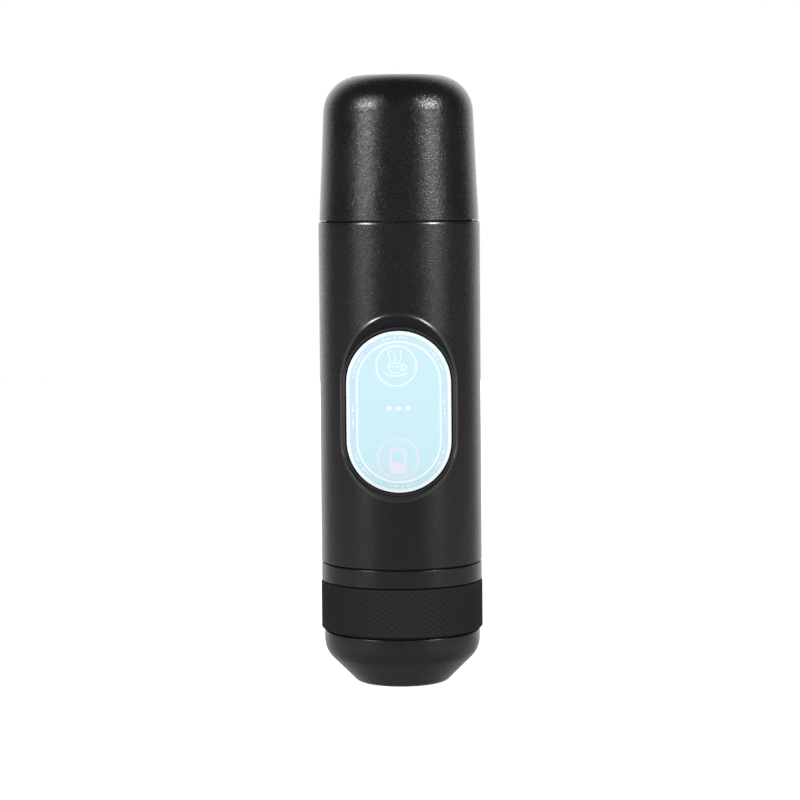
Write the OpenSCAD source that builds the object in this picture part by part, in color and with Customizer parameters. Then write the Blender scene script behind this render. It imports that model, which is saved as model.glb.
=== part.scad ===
// Portable capsule coffee machine, standing on its base cap with the drinking cup on top.
// Millimetres. Z is up, the press pad faces -Y, the origin is under the centre of the base.

/* [Housing] */
// outer diameter of the cylindrical housing
body_d = 60; // [56:0.5:70]
// height of the housing between its two seams
body_h = 126.4; // [120:0.2:150]
// wall thickness of the housing
shell_wall = 2; // [1.6:0.1:2.6]
// chamfer on the outer edges beside a seam
edge_chamfer = 0.5; // [0.2:0.1:0.8]
// open height of each dark seam line
seam_gap = 0.4; // [0.3:0.05:0.6]
// radial depth of the rabbets that seat the tank and the brew block
rabbet = 1; // [0.7:0.1:1.2]
// height of those rabbets
rabbet_h = 1.6; // [1:0.1:3]

/* [Drinking cup] */
// height of the cup above the housing
cup_h = 54; // [46:0.5:70]
// wall thickness of the cup
cup_wall = 1.8; // [1.2:0.1:2.2]
// draft angle of the cup wall in degrees
cup_draft = 2.6; // [1:0.1:4]
// outer radius of the rounded shoulder of the cup
cup_corner = 14; // [8:0.5:18]
// how much smaller the cup mouth is than the housing, per side
cup_inset = 0.35; // [0:0.05:0.8]

/* [Press pad] */
// width of the pad as a share of the housing diameter
pad_share = 0.634; // [0.56:0.002:0.68]
// height of the pad
pad_h = 59; // [50:0.5:66]
// height of the pad centre above the lower housing seam
pad_z = 57.2; // [52:0.1:62]
// depth of the pad face behind the housing surface at the pad's long sides
pad_sink = 1.05; // [0.6:0.05:2]
// how far the pad stands out of its bezel
pad_proud = 0.8; // [0.5:0.1:1.5]
// press travel of the pad
pad_travel = 0.8; // [0.4:0.1:1.2]
// gap between the pad and the lip of its bezel
pad_gap = 0.4; // [0.25:0.05:0.6]
// width of the flange that the lip holds back
pad_flange = 0.9; // [0.6:0.1:1.2]
// thickness of that flange
flange_t = 1; // [0.6:0.1:1.6]
// thickness of the bezel lip
lip_t = 0.6; // [0.4:0.1:1]
// thickness of the printed overlay on the pad
overlay_t = 0.6; // [0.3:0.1:1]
// rim of the pad left bare round the overlay
overlay_rim = 0.5; // [0.3:0.1:1]
// band between the pad and the wall of its recess
pocket_band = 1.9; // [1.8:0.1:3]
// thickness of the recess floor
floor_t = 1.6; // [1.2:0.1:2.2]
// slope of the thumb scoop at the upper end of the recess, in degrees
scoop_angle = 26.5; // [10:0.5:35]

/* [Water tank] */
// wall thickness of the water tank
tank_wall = 1.8; // [1.4:0.1:2.2]
// height of the tank neck above the upper housing seam
neck_h = 12; // [10:0.5:16]
// inner diameter of the filling mouth
mouth_d = 36; // [28:1:40]
// height of the filling mouth
mouth_h = 8; // [6:0.5:10]
// wall thickness of the filling mouth
mouth_wall = 2; // [1.5:0.1:2.5]
// thickness of the lid seal
lid_seal_t = 1.4; // [1:0.1:2]
// wall thickness of the lid
lid_wall = 2.2; // [1.8:0.1:3]
// height of the finger bar on the lid
lid_bar_h = 6; // [3:0.5:9]
// number of grip scallops round the lid
lid_scallops = 16; // [8:1:24]

/* [Outlet head] */
// height of the base cap
base_h = 19.6; // [18:0.2:26]
// height of the knurled grip between its seams
grip_h = 19; // [17:0.5:26]
// height of the smooth collar
collar_h = 7; // [6:0.2:10]
// how far the grip stands out of the housing surface
grip_proud = 0.2; // [0:0.05:0.8]
// thickness of the grip sleeve
grip_t = 2.6; // [2:0.1:3.2]
// depth of the pits of the knurl
knurl_depth = 0.45; // [0.2:0.05:0.7]
// pits round the sleeve
knurl_count = 60; // [40:2:80]
// height of one pit of the knurl
knurl_pitch = 1.92; // [1.4:0.02:2.6]
// plain band above and under the knurl
knurl_margin = 1.7; // [1.2:0.1:3]
// wall thickness of the skirt of the head
skirt_wall = 2; // [1.6:0.1:2.4]
// radial clearance of parts that slide or turn in one another
slide_fit = 0.3; // [0.25:0.01:0.4]
// outer diameter of the spout
spout_d = 10; // [8:0.5:13]
// bore of the spout
spout_bore = 6.4; // [5:0.2:7]
// gap between the spout tip and the foot plane
spout_lift = 11; // [8:0.5:14]

/* [Base cap] */
// how much smaller the base cap is than the housing, per side
base_inset = 0.85; // [0.4:0.05:1.5]
// wall thickness of the base cap
base_wall = 2; // [1.6:0.1:2.6]
// radius between the upright wall and the slope
base_fillet = 10; // [6:0.5:12]
// radius between the slope and the foot
foot_fillet = 4; // [3:0.5:6]
// height where the upright wall starts
base_upright = 16.5; // [14:0.5:17]
// height of the plug above the base cap
plug_rise = 6.4; // [4:0.2:8]

/* [Capsule] */
// radius of the capsule flange recess
capsule_flange_r = 18.9; // [18:0.1:20]
// radius of the chamber at the capsule flange
capsule_r = 15.1; // [14:0.1:16]
// radius of the chamber at the pierced end
capsule_tip_r = 12.1; // [11:0.1:13]
// depth of the conical chamber
capsule_h = 26.3; // [24:0.1:30]
// wall thickness of the chamber
chamber_wall = 1.6; // [1.2:0.1:2]
// number of piercing needles
needle_count = 3; // [2:1:5]
// length of the needles inside the chamber
needle_len = 4.5; // [3:0.5:6]
// height of the plug of the brew block inside the housing
block_plug_h = 12.4; // [8:0.2:15]

/* [Pump and electronics] */
// thickness of the frame plates
plate_t = 2; // [1.5:0.1:3]
// radius of a battery cell
cell_r = 7.1; // [6.5:0.1:7.3]
// length of a battery cell
cell_len = 50; // [48:0.5:54]
// thickness of the cell contact strips
strip_t = 0.4; // [0.2:0.1:0.6]
// distance of the pump axis behind the machine axis
pump_y = 6; // [5:0.1:6.4]
// height of the rubber foot of the pump
foot_h = 7; // [6:0.2:9]
// height of the pump head
pump_head_h = 13.6; // [13:0.1:15]
// outer radius of the pump tube
tube_r = 6; // [5.6:0.1:7]
// bore radius of the pump tube
tube_bore = 4.4; // [4:0.1:4.8]
// stroke of the pump plunger
plunger_stroke = 4; // [2:0.2:4]
// thickness of the pump yoke
yoke_t = 1.4; // [1:0.1:2]
// thickness of the circuit boards
board_t = 1.6; // [1:0.1:2]
// outer radius of the hose barbs
barb_r = 2.4; // [2:0.1:2.8]
// wall thickness of the hoses
hose_wall = 1.5; // [1:0.1:2]

/* [Hidden] */
$fn = 96;
black = [0.09, 0.09, 0.10];
dark = [0.16, 0.16, 0.17];
rubber = [0.13, 0.13, 0.13];
clear_grey = [0.72, 0.76, 0.80];
white = [0.93, 0.95, 0.96];
sky = [0.75, 0.92, 0.97];
steel = [0.70, 0.71, 0.73];
brass = [0.78, 0.63, 0.32];
copper = [0.72, 0.42, 0.25];
green = [0.10, 0.36, 0.22];
blue = [0.20, 0.35, 0.62];
silicone = [0.80, 0.80, 0.78];

// thin clearance between seated pieces that don't move
seat_fit = 0.1;
// clearance between stop faces of moving pieces
stop_fit = 0.05;
body_r = body_d / 2;
in_r = body_r - shell_wall;

// heights of the seams
z_grip = base_h;
z_collar = z_grip + grip_h;
z_body = z_collar + collar_h;
z_cup = z_body + body_h;
z_top = z_cup + cup_h;

// pad levels, as distances in front of the machine axis
pad_w = body_d * pad_share;
pad_front = sqrt(pow(body_r, 2) - pow(pad_w / 2, 2)) - pad_sink;
carrier_front = pad_front - overlay_t;
lip_front = pad_front - pad_proud;
lip_back = lip_front - lip_t;
flange_front = lip_back - seat_fit;
flange_back = flange_front - flange_t;
floor_front = flange_back - pad_travel - 0.3;
floor_back = floor_front - floor_t;
board_gap = 2.8;
board_front = floor_back - board_gap;
board_back = board_front - board_t;
switch_front = floor_back + 0.6;
switch_tip = switch_front + 1;
pad_cz = z_body + pad_z;
pad_end = (pad_h - pad_w) / 2;
pocket_hw = pad_w / 2 + pocket_band;
scoop_slope = tan(scoop_angle);
scoop_margin = 0.3;
scoop_front = sqrt(pow(body_r, 2) - pow(pocket_hw, 2)) + scoop_margin;
pocket_top = pad_cz + pad_end + pocket_hw + (body_r - scoop_front) * scoop_slope;

// brewing end
grip_r = body_r + grip_proud;
seat_r = grip_r - grip_t;
skirt_r = seat_r - skirt_wall;
thread_r = seat_r - 1.7;
spigot_r = thread_r - slide_fit;
z_foil = z_collar + 0.3;
z_cone0 = z_foil + 1.2;
z_cone1 = z_cone0 + capsule_h;
z_cham1 = z_cone1 + chamber_wall;
chamber_lip_r = capsule_flange_r + chamber_wall;
chamber_lip_h = 3.1;
needle_plate_r = 9;
needle_ring = 7;
needle_plate_t = 1.2;
plenum_h = 1.8;
z_block1 = z_cham1 + needle_plate_t + plenum_h + 2;
z_shoulder = z_body + block_plug_h;
z_partition = z_collar - 3;
partition_t = 3.6;
plate_r = capsule_flange_r + 0.1;
plate_t2 = 1;
gasket_t = 0.8;
gasket_inset = 0.3;
gasket_lap = 0.5;
z_plate = z_foil - plate_t2 - gasket_t - stop_fit;

// frame, cells and pump
z_plate1 = z_block1 + plate_t;
z_cell = z_plate1 + strip_t;
z_mid0 = z_cell + cell_len + strip_t;
z_mid1 = z_mid0 + plate_t;
frame_r = in_r - 0.3;
spine_r = frame_r - 1.5;
frame_front = floor_back - 0.4;
cell_ring = in_r - 0.5 - cell_r;
cell_angle = 12;
cell_x = cell_ring * cos(cell_angle);
cell_y = -cell_ring * sin(cell_angle);
z_head = z_plate1 + foot_h;
z_tube = z_head + pump_head_h;
coil_h = z_mid0 - 2 - z_tube - 2 * yoke_t;
coil_r = min(norm([cell_x, cell_y - pump_y]) - cell_r - 0.8,
             pump_y + board_back - 3.4,
             spine_r - pump_y - yoke_t - 0.6);
z_tube1 = z_mid1 + 3;
z_spring1 = z_mid1 - 1.8;
spring_len = 12;
z_plunger = z_tube + 5.4;
z_plunger1 = z_spring1 - spring_len;
rod_r = 1.7;
rod_bore = rod_r + 0.15;
valve_r = 2.2;
z_seat = z_head + 8;
z_valve = z_seat - 1.3;
hose_in = barb_r + 0.05;
hose_out = hose_in + hose_wall;
grommet_r = tube_r + 2;
post_ring = in_r - 5;
post_r = 3;
screw_r = 1.2;
screw_head_r = 2.2;
screw_head_h = 1.6;
screw_bite = 5;
wire_r = 0.5;
wire_x = 1.6;
wire_straight = 0.8;
wire_arch = 3;

// control board: half width, and its parts as heights above the lower plate
board_hw = pad_w / 2 - 2;
chip_w = 9;
chip_h = 1.2;
chip_x = board_hw - 8.2;
chip_z = 30;
coil_part_w = 7;
coil_part_h = 2.8;
coil_part_z = 13;
plug_part_w = 10;
plug_part_d = 4;
plug_part_h = 2.8;
plug_part_z = 43;
can_r = 3.2;
can_h = 2.4;
can_z = 12;
lead_z = 37;
led_w = 3.2;
led_d = 1.8;
led_h = 1.2;
led_x = board_hw - 9.2;
led_z = pad_end + 1.7;

// charging port
socket_hl = 4.47;
socket_hh = 1.63;
z_port = z_mid1 + 6.4;
port_face = in_r - 0.4;
cover_hl = 7.5;
cover_hh = 4;
board2_t = 1.2;
z_board2 = z_port - socket_hh - board2_t;

// water tank
z_tank = max(pocket_top + shell_wall + 1.6, z_port + cover_hh + 2.5);
tank_r = in_r - 0.5;
flange_r = in_r + rabbet - seat_fit;
z_seam_top = z_cup + seam_gap;
cup_mouth = body_r - cup_inset;
function cup_in(z) = cup_mouth - cup_wall / cos(cup_draft) - (z - z_seam_top) * tan(cup_draft);
z_neck = z_cup + neck_h;
neck_r = cup_in(z_neck) - 0.4;
neck_groove = 0.8;
z_ring = z_cup + 4;
ring_r = (cup_in(z_ring) - 0.15 - neck_r + neck_groove) / 2;
tank_in = neck_r - tank_wall;
mouth_r = mouth_d / 2;
mouth_out = mouth_r + mouth_wall;
z_mouth = z_neck + mouth_h;
lid_in = mouth_out + slide_fit;
lid_r = lid_in + lid_wall;
z_seal = z_mouth + stop_fit;
z_lid = z_seal + lid_seal_t + stop_fit;

// base cap
base_r = body_r - base_inset;
plug_r = skirt_r - slide_fit;
plug_in = plug_r - 1.8;
plug_groove = 0.8;
plug_groove_z = 2.2;
plug_groove_h = 1.5;
cap_ring_r = 0.5;
z_plug = z_grip - 1.2;
slope = 45;
foot_x = base_r - base_fillet
    - (foot_fillet - base_fillet + sin(slope) * (base_upright - foot_fillet)) / cos(slope);

// stadium outline: half width and half distance between the end centres
module stadium(half_w, half_end) {
    square([2 * half_w, 2 * half_end], center = true);
    for (side = [-1, 1])
        translate([0, side * half_end]) circle(r = half_w);
}

// plate that faces the front, between two distances from the axis
module front_plate(back, front, z = pad_cz) {
    translate([0, -back, z]) rotate([90, 0, 0]) linear_extrude(front - back) children();
}

// plate that faces the back, between two distances from the axis
module back_plate(near, far, z = z_port) {
    translate([0, near, z]) rotate([-90, 0, 0]) linear_extrude(far - near) children();
}

// ring round the Z axis
module ring(r_out, r_in, z0, z1) {
    translate([0, 0, z0]) difference() {
        cylinder(r = r_out, h = z1 - z0);
        translate([0, 0, -1]) cylinder(r = r_in, h = z1 - z0 + 2);
    }
}

module at_pump() {
    translate([0, pump_y, 0]) children();
}

// tube swept along a path of points, with its section square to the path
module sweep(path, r, sides = 6) {
    last = len(path) - 1;
    points = [for (i = [0 : last])
        let (ahead = path[min(i + 1, last)] - path[max(i - 1, 0)],
             t = ahead / norm(ahead),
             side = abs(t[2]) > 0.9 ? [1, 0, 0] : [0, 0, 1],
             u = cross(t, side) / norm(cross(t, side)),
             v = cross(t, u))
        for (k = [0 : sides - 1])
            path[i] + r * (cos(360 * k / sides) * u + sin(360 * k / sides) * v)];
    walls = [for (i = [0 : last - 1], k = [0 : sides - 1])
        let (n = (k + 1) % sides,
             a = i * sides,
             b = a + sides)
        each [[a + k, b + k, b + n], [a + k, b + n, a + n]]];
    start = [for (k = [0 : sides - 1]) k];
    end = [for (k = [sides - 1 : -1 : 0]) last * sides + k];
    polyhedron(points, concat([start], walls, [end]), convexity = 6);
}

// coil spring standing on z0, with flat first and last turns
module coil_spring(r, wire, z0, z1, turns) {
    steps = turns * 10;
    rise = z1 - z0 - 2 * wire;
    sweep([for (i = [0 : steps])
        let (part = (i / steps * turns - 0.75) / (turns - 1.5),
             up = min(1, max(0, part)))
        [r * cos(36 * i), r * sin(36 * i), z0 + wire + rise * up]], wire, 6);
}

// cup outline, shrunk by an inset, from a given height up
module cup_outline(inset, z0) {
    out = [cos(cup_draft), sin(cup_draft)];
    reach = out * [cup_mouth, z_seam_top];
    centre = [(reach - cup_corner - out[1] * (z_top - cup_corner)) / out[0], z_top - cup_corner];
    r = cup_corner - inset;
    foot = (reach - inset - out[1] * z0) / out[0];
    polygon([[0, z0], [foot, z0], centre + r * out, centre + [0, r], [0, z_top - inset]]);
    intersection() {
        translate(centre) circle(r = r);
        translate([0, z0]) square([body_r, cup_h]);
    }
}

module drinking_cup() {
    color(black) rotate_extrude() difference() {
        cup_outline(0, z_seam_top);
        cup_outline(cup_wall, z_seam_top - 1);
        translate([cup_mouth, z_seam_top]) rotate(45)
            square(edge_chamfer, center = true);
    }
}

module cup_ring() {
    color(rubber) rotate_extrude()
        translate([neck_r - neck_groove + ring_r + 0.02, z_ring]) circle(r = ring_r);
}

module water_tank() {
    color(clear_grey) difference() {
        union() {
            rotate_extrude() difference() {
                polygon([[0, z_tank], [tank_r, z_tank], [tank_r, z_cup - rabbet_h],
                    [flange_r, z_cup - rabbet_h], [flange_r, z_seam_top - stop_fit],
                    [neck_r, z_seam_top - stop_fit], [neck_r, z_neck], [mouth_out, z_neck],
                    [mouth_out, z_mouth], [0, z_mouth]]);
                polygon([[0, z_tank + tank_wall], [tank_in, z_tank + tank_wall],
                    [tank_in, z_neck - tank_wall], [mouth_r, z_neck - tank_wall],
                    [mouth_r, z_mouth + 1], [0, z_mouth + 1]]);
                translate([neck_r - neck_groove, z_ring - ring_r - 0.05])
                    square([2, 2 * ring_r + 0.1]);
            }
            at_pump() translate([0, 0, z_tank - 4]) cylinder(r = barb_r, h = 4.5);
        }
        at_pump() translate([0, 0, z_tank - 5]) cylinder(r = 1.5, h = tank_wall + 6);
    }
}

module tank_strainer() {
    color(steel) at_pump() translate([0, 0, z_tank + tank_wall]) difference() {
        cylinder(r = 5.5, h = 0.8);
        for (turn = [0 : 60 : 300], r = [1.7, 3.9])
            rotate(turn) translate([r, 0, -1]) cylinder(r = 0.5, h = 3);
    }
}

module lid_seal() {
    color(silicone) ring(mouth_out - 0.2, mouth_r + 0.2, z_seal, z_seal + lid_seal_t);
}

module tank_lid() {
    color(dark) difference() {
        union() {
            rotate_extrude() polygon([[0, z_lid], [lid_in, z_lid], [lid_in, z_neck + 0.8],
                [lid_r, z_neck + 0.8], [lid_r, z_lid + lid_wall - 1], [lid_r - 1, z_lid + lid_wall],
                [0, z_lid + lid_wall]]);
            translate([-lid_r + 4, -2.5, z_lid + 1])
                cube([2 * lid_r - 8, 5, lid_bar_h + lid_wall - 1]);
        }
        for (i = [0 : lid_scallops - 1])
            rotate(360 * i / lid_scallops) translate([lid_r + 1.4, 0, z_neck])
                cylinder(r = 2.2, h = mouth_h + 6);
    }
}

// solid cone of the thumb scoop, widened by a wall
module scoop(grow, back) {
    start = pocket_hw + grow - (scoop_front - back) * scoop_slope;
    depth = body_r + 2 - back;
    translate([0, -back, pad_cz + pad_end]) rotate([90, 0, 0])
        cylinder(h = depth, r1 = start, r2 = start + depth * scoop_slope);
}

module main_housing() {
    color(black) difference() {
        union() {
            rotate_extrude() polygon([[body_r - edge_chamfer, z_body], [body_r, z_body + edge_chamfer],
                [body_r, z_cup - edge_chamfer], [body_r - edge_chamfer, z_cup],
                [in_r + rabbet, z_cup], [in_r + rabbet, z_cup - rabbet_h], [in_r, z_cup - rabbet_h],
                [in_r, z_body + rabbet_h], [in_r + rabbet, z_body + rabbet_h], [in_r + rabbet, z_body]]);
            intersection() {
                translate([0, 0, z_body + 2]) cylinder(r = body_r - shell_wall / 2, h = body_h - 4);
                union() {
                    front_plate(floor_back, body_r + 1) stadium(pocket_hw + shell_wall, pad_end);
                    scoop(shell_wall, floor_back);
                    back_plate(port_face - shell_wall, body_r)
                        rotate(90) stadium(cover_hh + 1.5, cover_hl - cover_hh);
                }
            }
        }
        front_plate(floor_front, body_r + 1) stadium(pocket_hw, pad_end);
        scoop(0, floor_front);
        front_plate(floor_back - 1, floor_front + 1) stadium(pad_w / 2 - 7, pad_end);
        back_plate(port_face, body_r + 1) rotate(90) stadium(cover_hh, cover_hl - cover_hh);
        back_plate(port_face - shell_wall - 1, body_r)
            rotate(90) stadium(socket_hh + 0.25, socket_hl - socket_hh);
    }
}

module pad_bezel() {
    color(dark) difference() {
        front_plate(floor_front, lip_front) stadium(pocket_hw - seat_fit, pad_end);
        front_plate(floor_front - 1, lip_front + 1) stadium(pad_w / 2 + pad_gap, pad_end);
        front_plate(floor_front - 1, lip_back) stadium(pad_w / 2 + pad_flange + slide_fit, pad_end);
    }
}

module press_pad() {
    color(white) {
        front_plate(flange_back, carrier_front) stadium(pad_w / 2, pad_end);
        front_plate(flange_back, flange_front) stadium(pad_w / 2 + pad_flange, pad_end);
        front_plate(switch_tip + 0.02, flange_back + 0.5) circle(r = 2.4);
    }
}

module pad_overlay() {
    color(sky) front_plate(carrier_front, pad_front) stadium(pad_w / 2 - overlay_rim, pad_end);
}

module switch_plunger() {
    color(dark) front_plate(switch_front - 1.3, switch_tip) circle(r = 1.6);
}

module tact_switch() {
    color(steel) difference() {
        front_plate(board_front, switch_front) square(6.2, center = true);
        front_plate(switch_front - 1.4 - pad_travel, switch_front + 1) circle(r = 1.9);
    }
}

module control_board() {
    color(green) front_plate(board_back, board_front, 0)
        translate([-board_hw, z_plate1 - 1]) square([2 * board_hw, z_mid0 - z_plate1 + 1.8]);
}

module board_parts() {
    color(dark) {
        front_plate(board_back - chip_h, board_back, z_plate1 + chip_z)
            translate([-chip_x, 0]) square(chip_w, center = true);
        front_plate(board_back - coil_part_h, board_back, z_plate1 + coil_part_z)
            translate([led_x, 0]) square(coil_part_w, center = true);
        front_plate(board_back - plug_part_h, board_back, z_plate1 + plug_part_z)
            translate([chip_x, 0]) square([plug_part_w, plug_part_d], center = true);
        front_plate(board_back - can_h, board_back, z_plate1 + can_z)
            translate([-led_x, 0]) circle(r = can_r);
    }
}

module status_leds() {
    color(white) for (x = [-led_x, led_x], z = [-led_z, led_z])
        front_plate(board_front, board_front + led_h, pad_cz + z) translate([x, 0])
            square([led_w, led_d], center = true);
}

module frame_plate(z) {
    translate([0, 0, z]) intersection() {
        cylinder(r = frame_r, h = plate_t);
        translate([-body_r, -frame_front, 0]) cube([body_d, frame_front + body_r, plate_t]);
    }
}

module inner_frame() {
    color(dark) difference() {
        union() {
            frame_plate(z_block1);
            frame_plate(z_mid0);
            intersection() {
                ring(frame_r, spine_r, z_block1, z_mid1);
                translate([-body_r, frame_r / 2, z_block1]) cube([body_d, body_r, z_mid1 - z_block1]);
            }
            for (turn = [45, 135, 200, 340])
                rotate(turn) translate([post_ring, 0, z_shoulder])
                    cylinder(r = post_r, h = z_block1 - z_shoulder + 1);
            for (x = [-5, 5])
                translate([x, in_r - 11, z_mid1 - 1]) cylinder(r = 1.8, h = z_board2 - z_mid1 + 1);
        }
        at_pump() translate([0, 0, z_block1 - 1]) cylinder(r = hose_out + 0.3, h = plate_t + 2);
        at_pump() translate([0, 0, z_mid0 - 1]) cylinder(r = grommet_r, h = plate_t + 2);
        for (turn = [45, 135])
            rotate(turn) translate([post_ring, 0, z_shoulder - 1]) cylinder(r = screw_r + seat_fit, h = body_h);
        front_plate(board_back - 0.15, board_front + 0.15, 0)
            translate([-board_hw - 0.2, z_plate1 - 1]) square([2 * board_hw + 0.4, 2]);
        front_plate(board_back - 0.15, board_front + 0.15, 0)
            translate([-board_hw - 0.2, z_mid0 - 1]) square([2 * board_hw + 0.4, 2]);
    }
}

module frame_screws() {
    color(steel) for (turn = [45, 135])
        rotate(turn) translate([post_ring, 0, 0]) {
            translate([0, 0, z_plate1]) difference() {
                cylinder(r = screw_head_r, h = screw_head_h);
                translate([0, 0, screw_head_h * 0.45]) cylinder(r = screw_head_r / 2, h = screw_head_h, $fn = 6);
            }
            translate([0, 0, z_shoulder - screw_bite])
                cylinder(r = screw_r, h = z_plate1 - z_shoulder + screw_bite + screw_head_h * 0.3);
        }
}

module battery_cells() {
    color(blue) for (side = [-1, 1]) translate([side * cell_x, cell_y, z_cell]) {
        cylinder(r = cell_r, h = cell_len - 1.2);
        cylinder(r = cell_r / 2.6, h = cell_len);
    }
}

module cell_strips() {
    color(steel) {
        for (side = [-1, 1]) translate([side * cell_x, cell_y, z_plate1])
            cylinder(r = cell_r - 1, h = strip_t);
        translate([-cell_x - 3, cell_y - 2.5, z_mid0 - strip_t]) cube([2 * cell_x + 6, 5, strip_t]);
    }
}

module charge_board() {
    color(green) translate([-7, in_r - 14, z_board2]) cube([14, 11.3, board2_t]);
}

module usb_socket() {
    color(steel) {
        difference() {
            back_plate(port_face - 7.3, port_face - 0.1)
                rotate(90) stadium(socket_hh, socket_hl - socket_hh);
            back_plate(port_face - 6.3, port_face + 1)
                rotate(90) stadium(socket_hh - 0.3, socket_hl - socket_hh);
        }
        translate([-3.35, port_face - 6.5, z_port - 0.35]) cube([6.7, 5, 0.7]);
    }
}

module port_cover() {
    color(rubber) {
        intersection() {
            back_plate(port_face + stop_fit, body_r + 1)
                rotate(90) stadium(cover_hh - 0.2, cover_hl - cover_hh);
            cylinder(r = body_r - 0.1, h = z_cup);
        }
        back_plate(port_face - 1, port_face + 0.5)
            rotate(90) stadium(socket_hh - 0.6, socket_hl - socket_hh - 0.2);
    }
}

module inlet_hose() {
    color(silicone) at_pump() ring(hose_out, hose_in, z_tube1, z_tank);
}

module pump_tube() {
    color(white) at_pump() difference() {
        union() {
            translate([0, 0, z_tube]) cylinder(r = tube_r, h = z_tube1 - z_tube);
            translate([0, 0, z_tube1 - 1]) cylinder(r = barb_r, h = 5);
        }
        translate([0, 0, z_tube - 1]) cylinder(r = tube_bore, h = z_spring1 - z_tube + 1);
        translate([0, 0, z_spring1 - 1]) cylinder(r = 1.5, h = z_tube1 - z_spring1 + 8);
    }
}

module pump_coil() {
    color(copper) at_pump()
        ring(coil_r, tube_r + seat_fit, z_tube + yoke_t, z_tube + yoke_t + coil_h);
}

module pump_yoke() {
    half_w = 9;
    back = coil_r + seat_fit + yoke_t;
    color(steel) at_pump() difference() {
        union() {
            for (z = [z_tube, z_tube + yoke_t + coil_h])
                translate([-half_w, -half_w, z]) cube([2 * half_w, half_w + back, yoke_t]);
            translate([-half_w, back - yoke_t, z_tube])
                cube([2 * half_w, yoke_t, coil_h + 2 * yoke_t]);
        }
        translate([0, 0, z_tube - 1]) cylinder(r = tube_r + seat_fit, h = coil_h + 2 * yoke_t + 2);
    }
}

module pump_plunger() {
    color(steel) at_pump() difference() {
        union() {
            translate([0, 0, z_tube - 4.3]) cylinder(r = rod_r, h = z_plunger - z_tube + 5);
            translate([0, 0, z_plunger]) cylinder(r = tube_bore - 0.2, h = z_plunger1 - z_plunger);
        }
        translate([0, 0, z_tube - 10]) cylinder(r = 0.7, h = z_plunger1 - z_tube + 12);
    }
}

module plunger_spring() {
    color(steel) at_pump() coil_spring(tube_bore - 1, 0.4, z_plunger1 + stop_fit, z_spring1, 6);
}

module plunger_buffer() {
    color(rubber) at_pump() ring(tube_bore - seat_fit, rod_r + 0.3, z_tube, z_plunger - stop_fit);
}

module pump_head() {
    color(brass) at_pump() difference() {
        union() {
            translate([0, 0, z_head]) cylinder(r = tube_r + 2, h = pump_head_h);
            translate([0, 0, z_head - 4]) cylinder(r = barb_r, h = 5);
        }
        translate([0, 0, z_head - 5]) cylinder(r = 1.2, h = 7);
        translate([0, 0, z_head + 1]) cylinder(r = valve_r + 0.5, h = z_seat - z_head - 1);
        translate([0, 0, z_seat - 1]) cylinder(r = rod_bore, h = pump_head_h);
    }
}

module valve_ball() {
    color(steel) at_pump() translate([0, 0, z_valve]) sphere(r = valve_r);
}

module valve_spring() {
    color(steel) at_pump()
        coil_spring(valve_r - 0.4, 0.25, z_head + 1, z_valve - valve_r + 0.3, 3);
}

module pump_foot() {
    color(rubber) at_pump() ring(tube_r + 2.6, hose_out + 0.3, z_plate1, z_head);
}

module pump_grommet() {
    color(rubber) at_pump() {
        ring(grommet_r - stop_fit, tube_r + stop_fit, z_mid0, z_mid1 + 0.5);
        ring(grommet_r + 1.5, tube_r + stop_fit, z_mid1, z_mid1 + 1.2);
    }
}

module outlet_hose() {
    color(silicone) at_pump() ring(hose_out, hose_in, z_block1, z_head);
}

// leads from the control board to the pump coil, square to both where they end
module wire_leads() {
    coil_front = sqrt(pow(coil_r, 2) - pow(wire_x - wire_r, 2)) + stop_fit;
    color([0.7, 0.1, 0.1]) for (x = [-wire_x, wire_x]) {
        start = [x, stop_fit - board_back, z_plate1 + lead_z];
        end = [x, pump_y - coil_front, z_tube + yoke_t + coil_h - 7];
        from = start + [0, wire_straight, 0];
        to = end - [0, wire_straight, 0];
        sweep(concat([start],
            [for (i = [0 : 8])
                let (s = i / 8)
                from + (to - from) * s + [0, 0, wire_arch * sin(180 * s)]],
            [end]), wire_r, 6);
    }
}

// outline of the chamber wall, grown by a clearance
function chamber_wall_points(grow) = [
    [0, z_foil - (grow > 0 ? 1 : 0)],
    [chamber_lip_r + grow, z_foil - (grow > 0 ? 1 : 0)],
    [chamber_lip_r + grow, z_foil + chamber_lip_h],
    [capsule_r + chamber_wall + grow, z_foil + chamber_lip_h],
    [capsule_tip_r + chamber_wall + grow, z_cham1],
    [0, z_cham1]];

module brew_block() {
    color(dark) difference() {
        union() {
            rotate_extrude() polygon([[0, z_foil], [spigot_r, z_foil],
                [spigot_r, z_body - seam_gap + stop_fit], [flange_r, z_body - seam_gap + stop_fit],
                [flange_r, z_body + rabbet_h], [in_r - seat_fit, z_body + rabbet_h],
                [in_r - seat_fit, z_shoulder], [capsule_r + 2 * chamber_wall + 0.4, z_shoulder],
                [capsule_tip_r + 2 * chamber_wall + 0.4, z_cham1],
                [needle_plate_r + 2.5, z_cham1 + 3], [needle_plate_r + 2.5, z_block1], [0, z_block1]]);
            at_pump() translate([0, 0, z_block1 - 1]) cylinder(r = barb_r, h = 4.6);
        }
        rotate_extrude() polygon(chamber_wall_points(seat_fit));
        translate([0, 0, z_cham1 - 0.5]) cylinder(r = needle_plate_r + seat_fit, h = needle_plate_t + 0.5);
        translate([0, 0, z_cham1]) cylinder(r = needle_plate_r - 1, h = needle_plate_t + plenum_h);
        at_pump() translate([0, 0, z_cham1 + 1]) cylinder(r = 1.2, h = 12);
        for (turn = [45, 135])
            rotate(turn) translate([post_ring, 0, z_shoulder - screw_bite - 1])
                cylinder(r = screw_r + stop_fit, h = 2 * screw_bite);
    }
}

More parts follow.
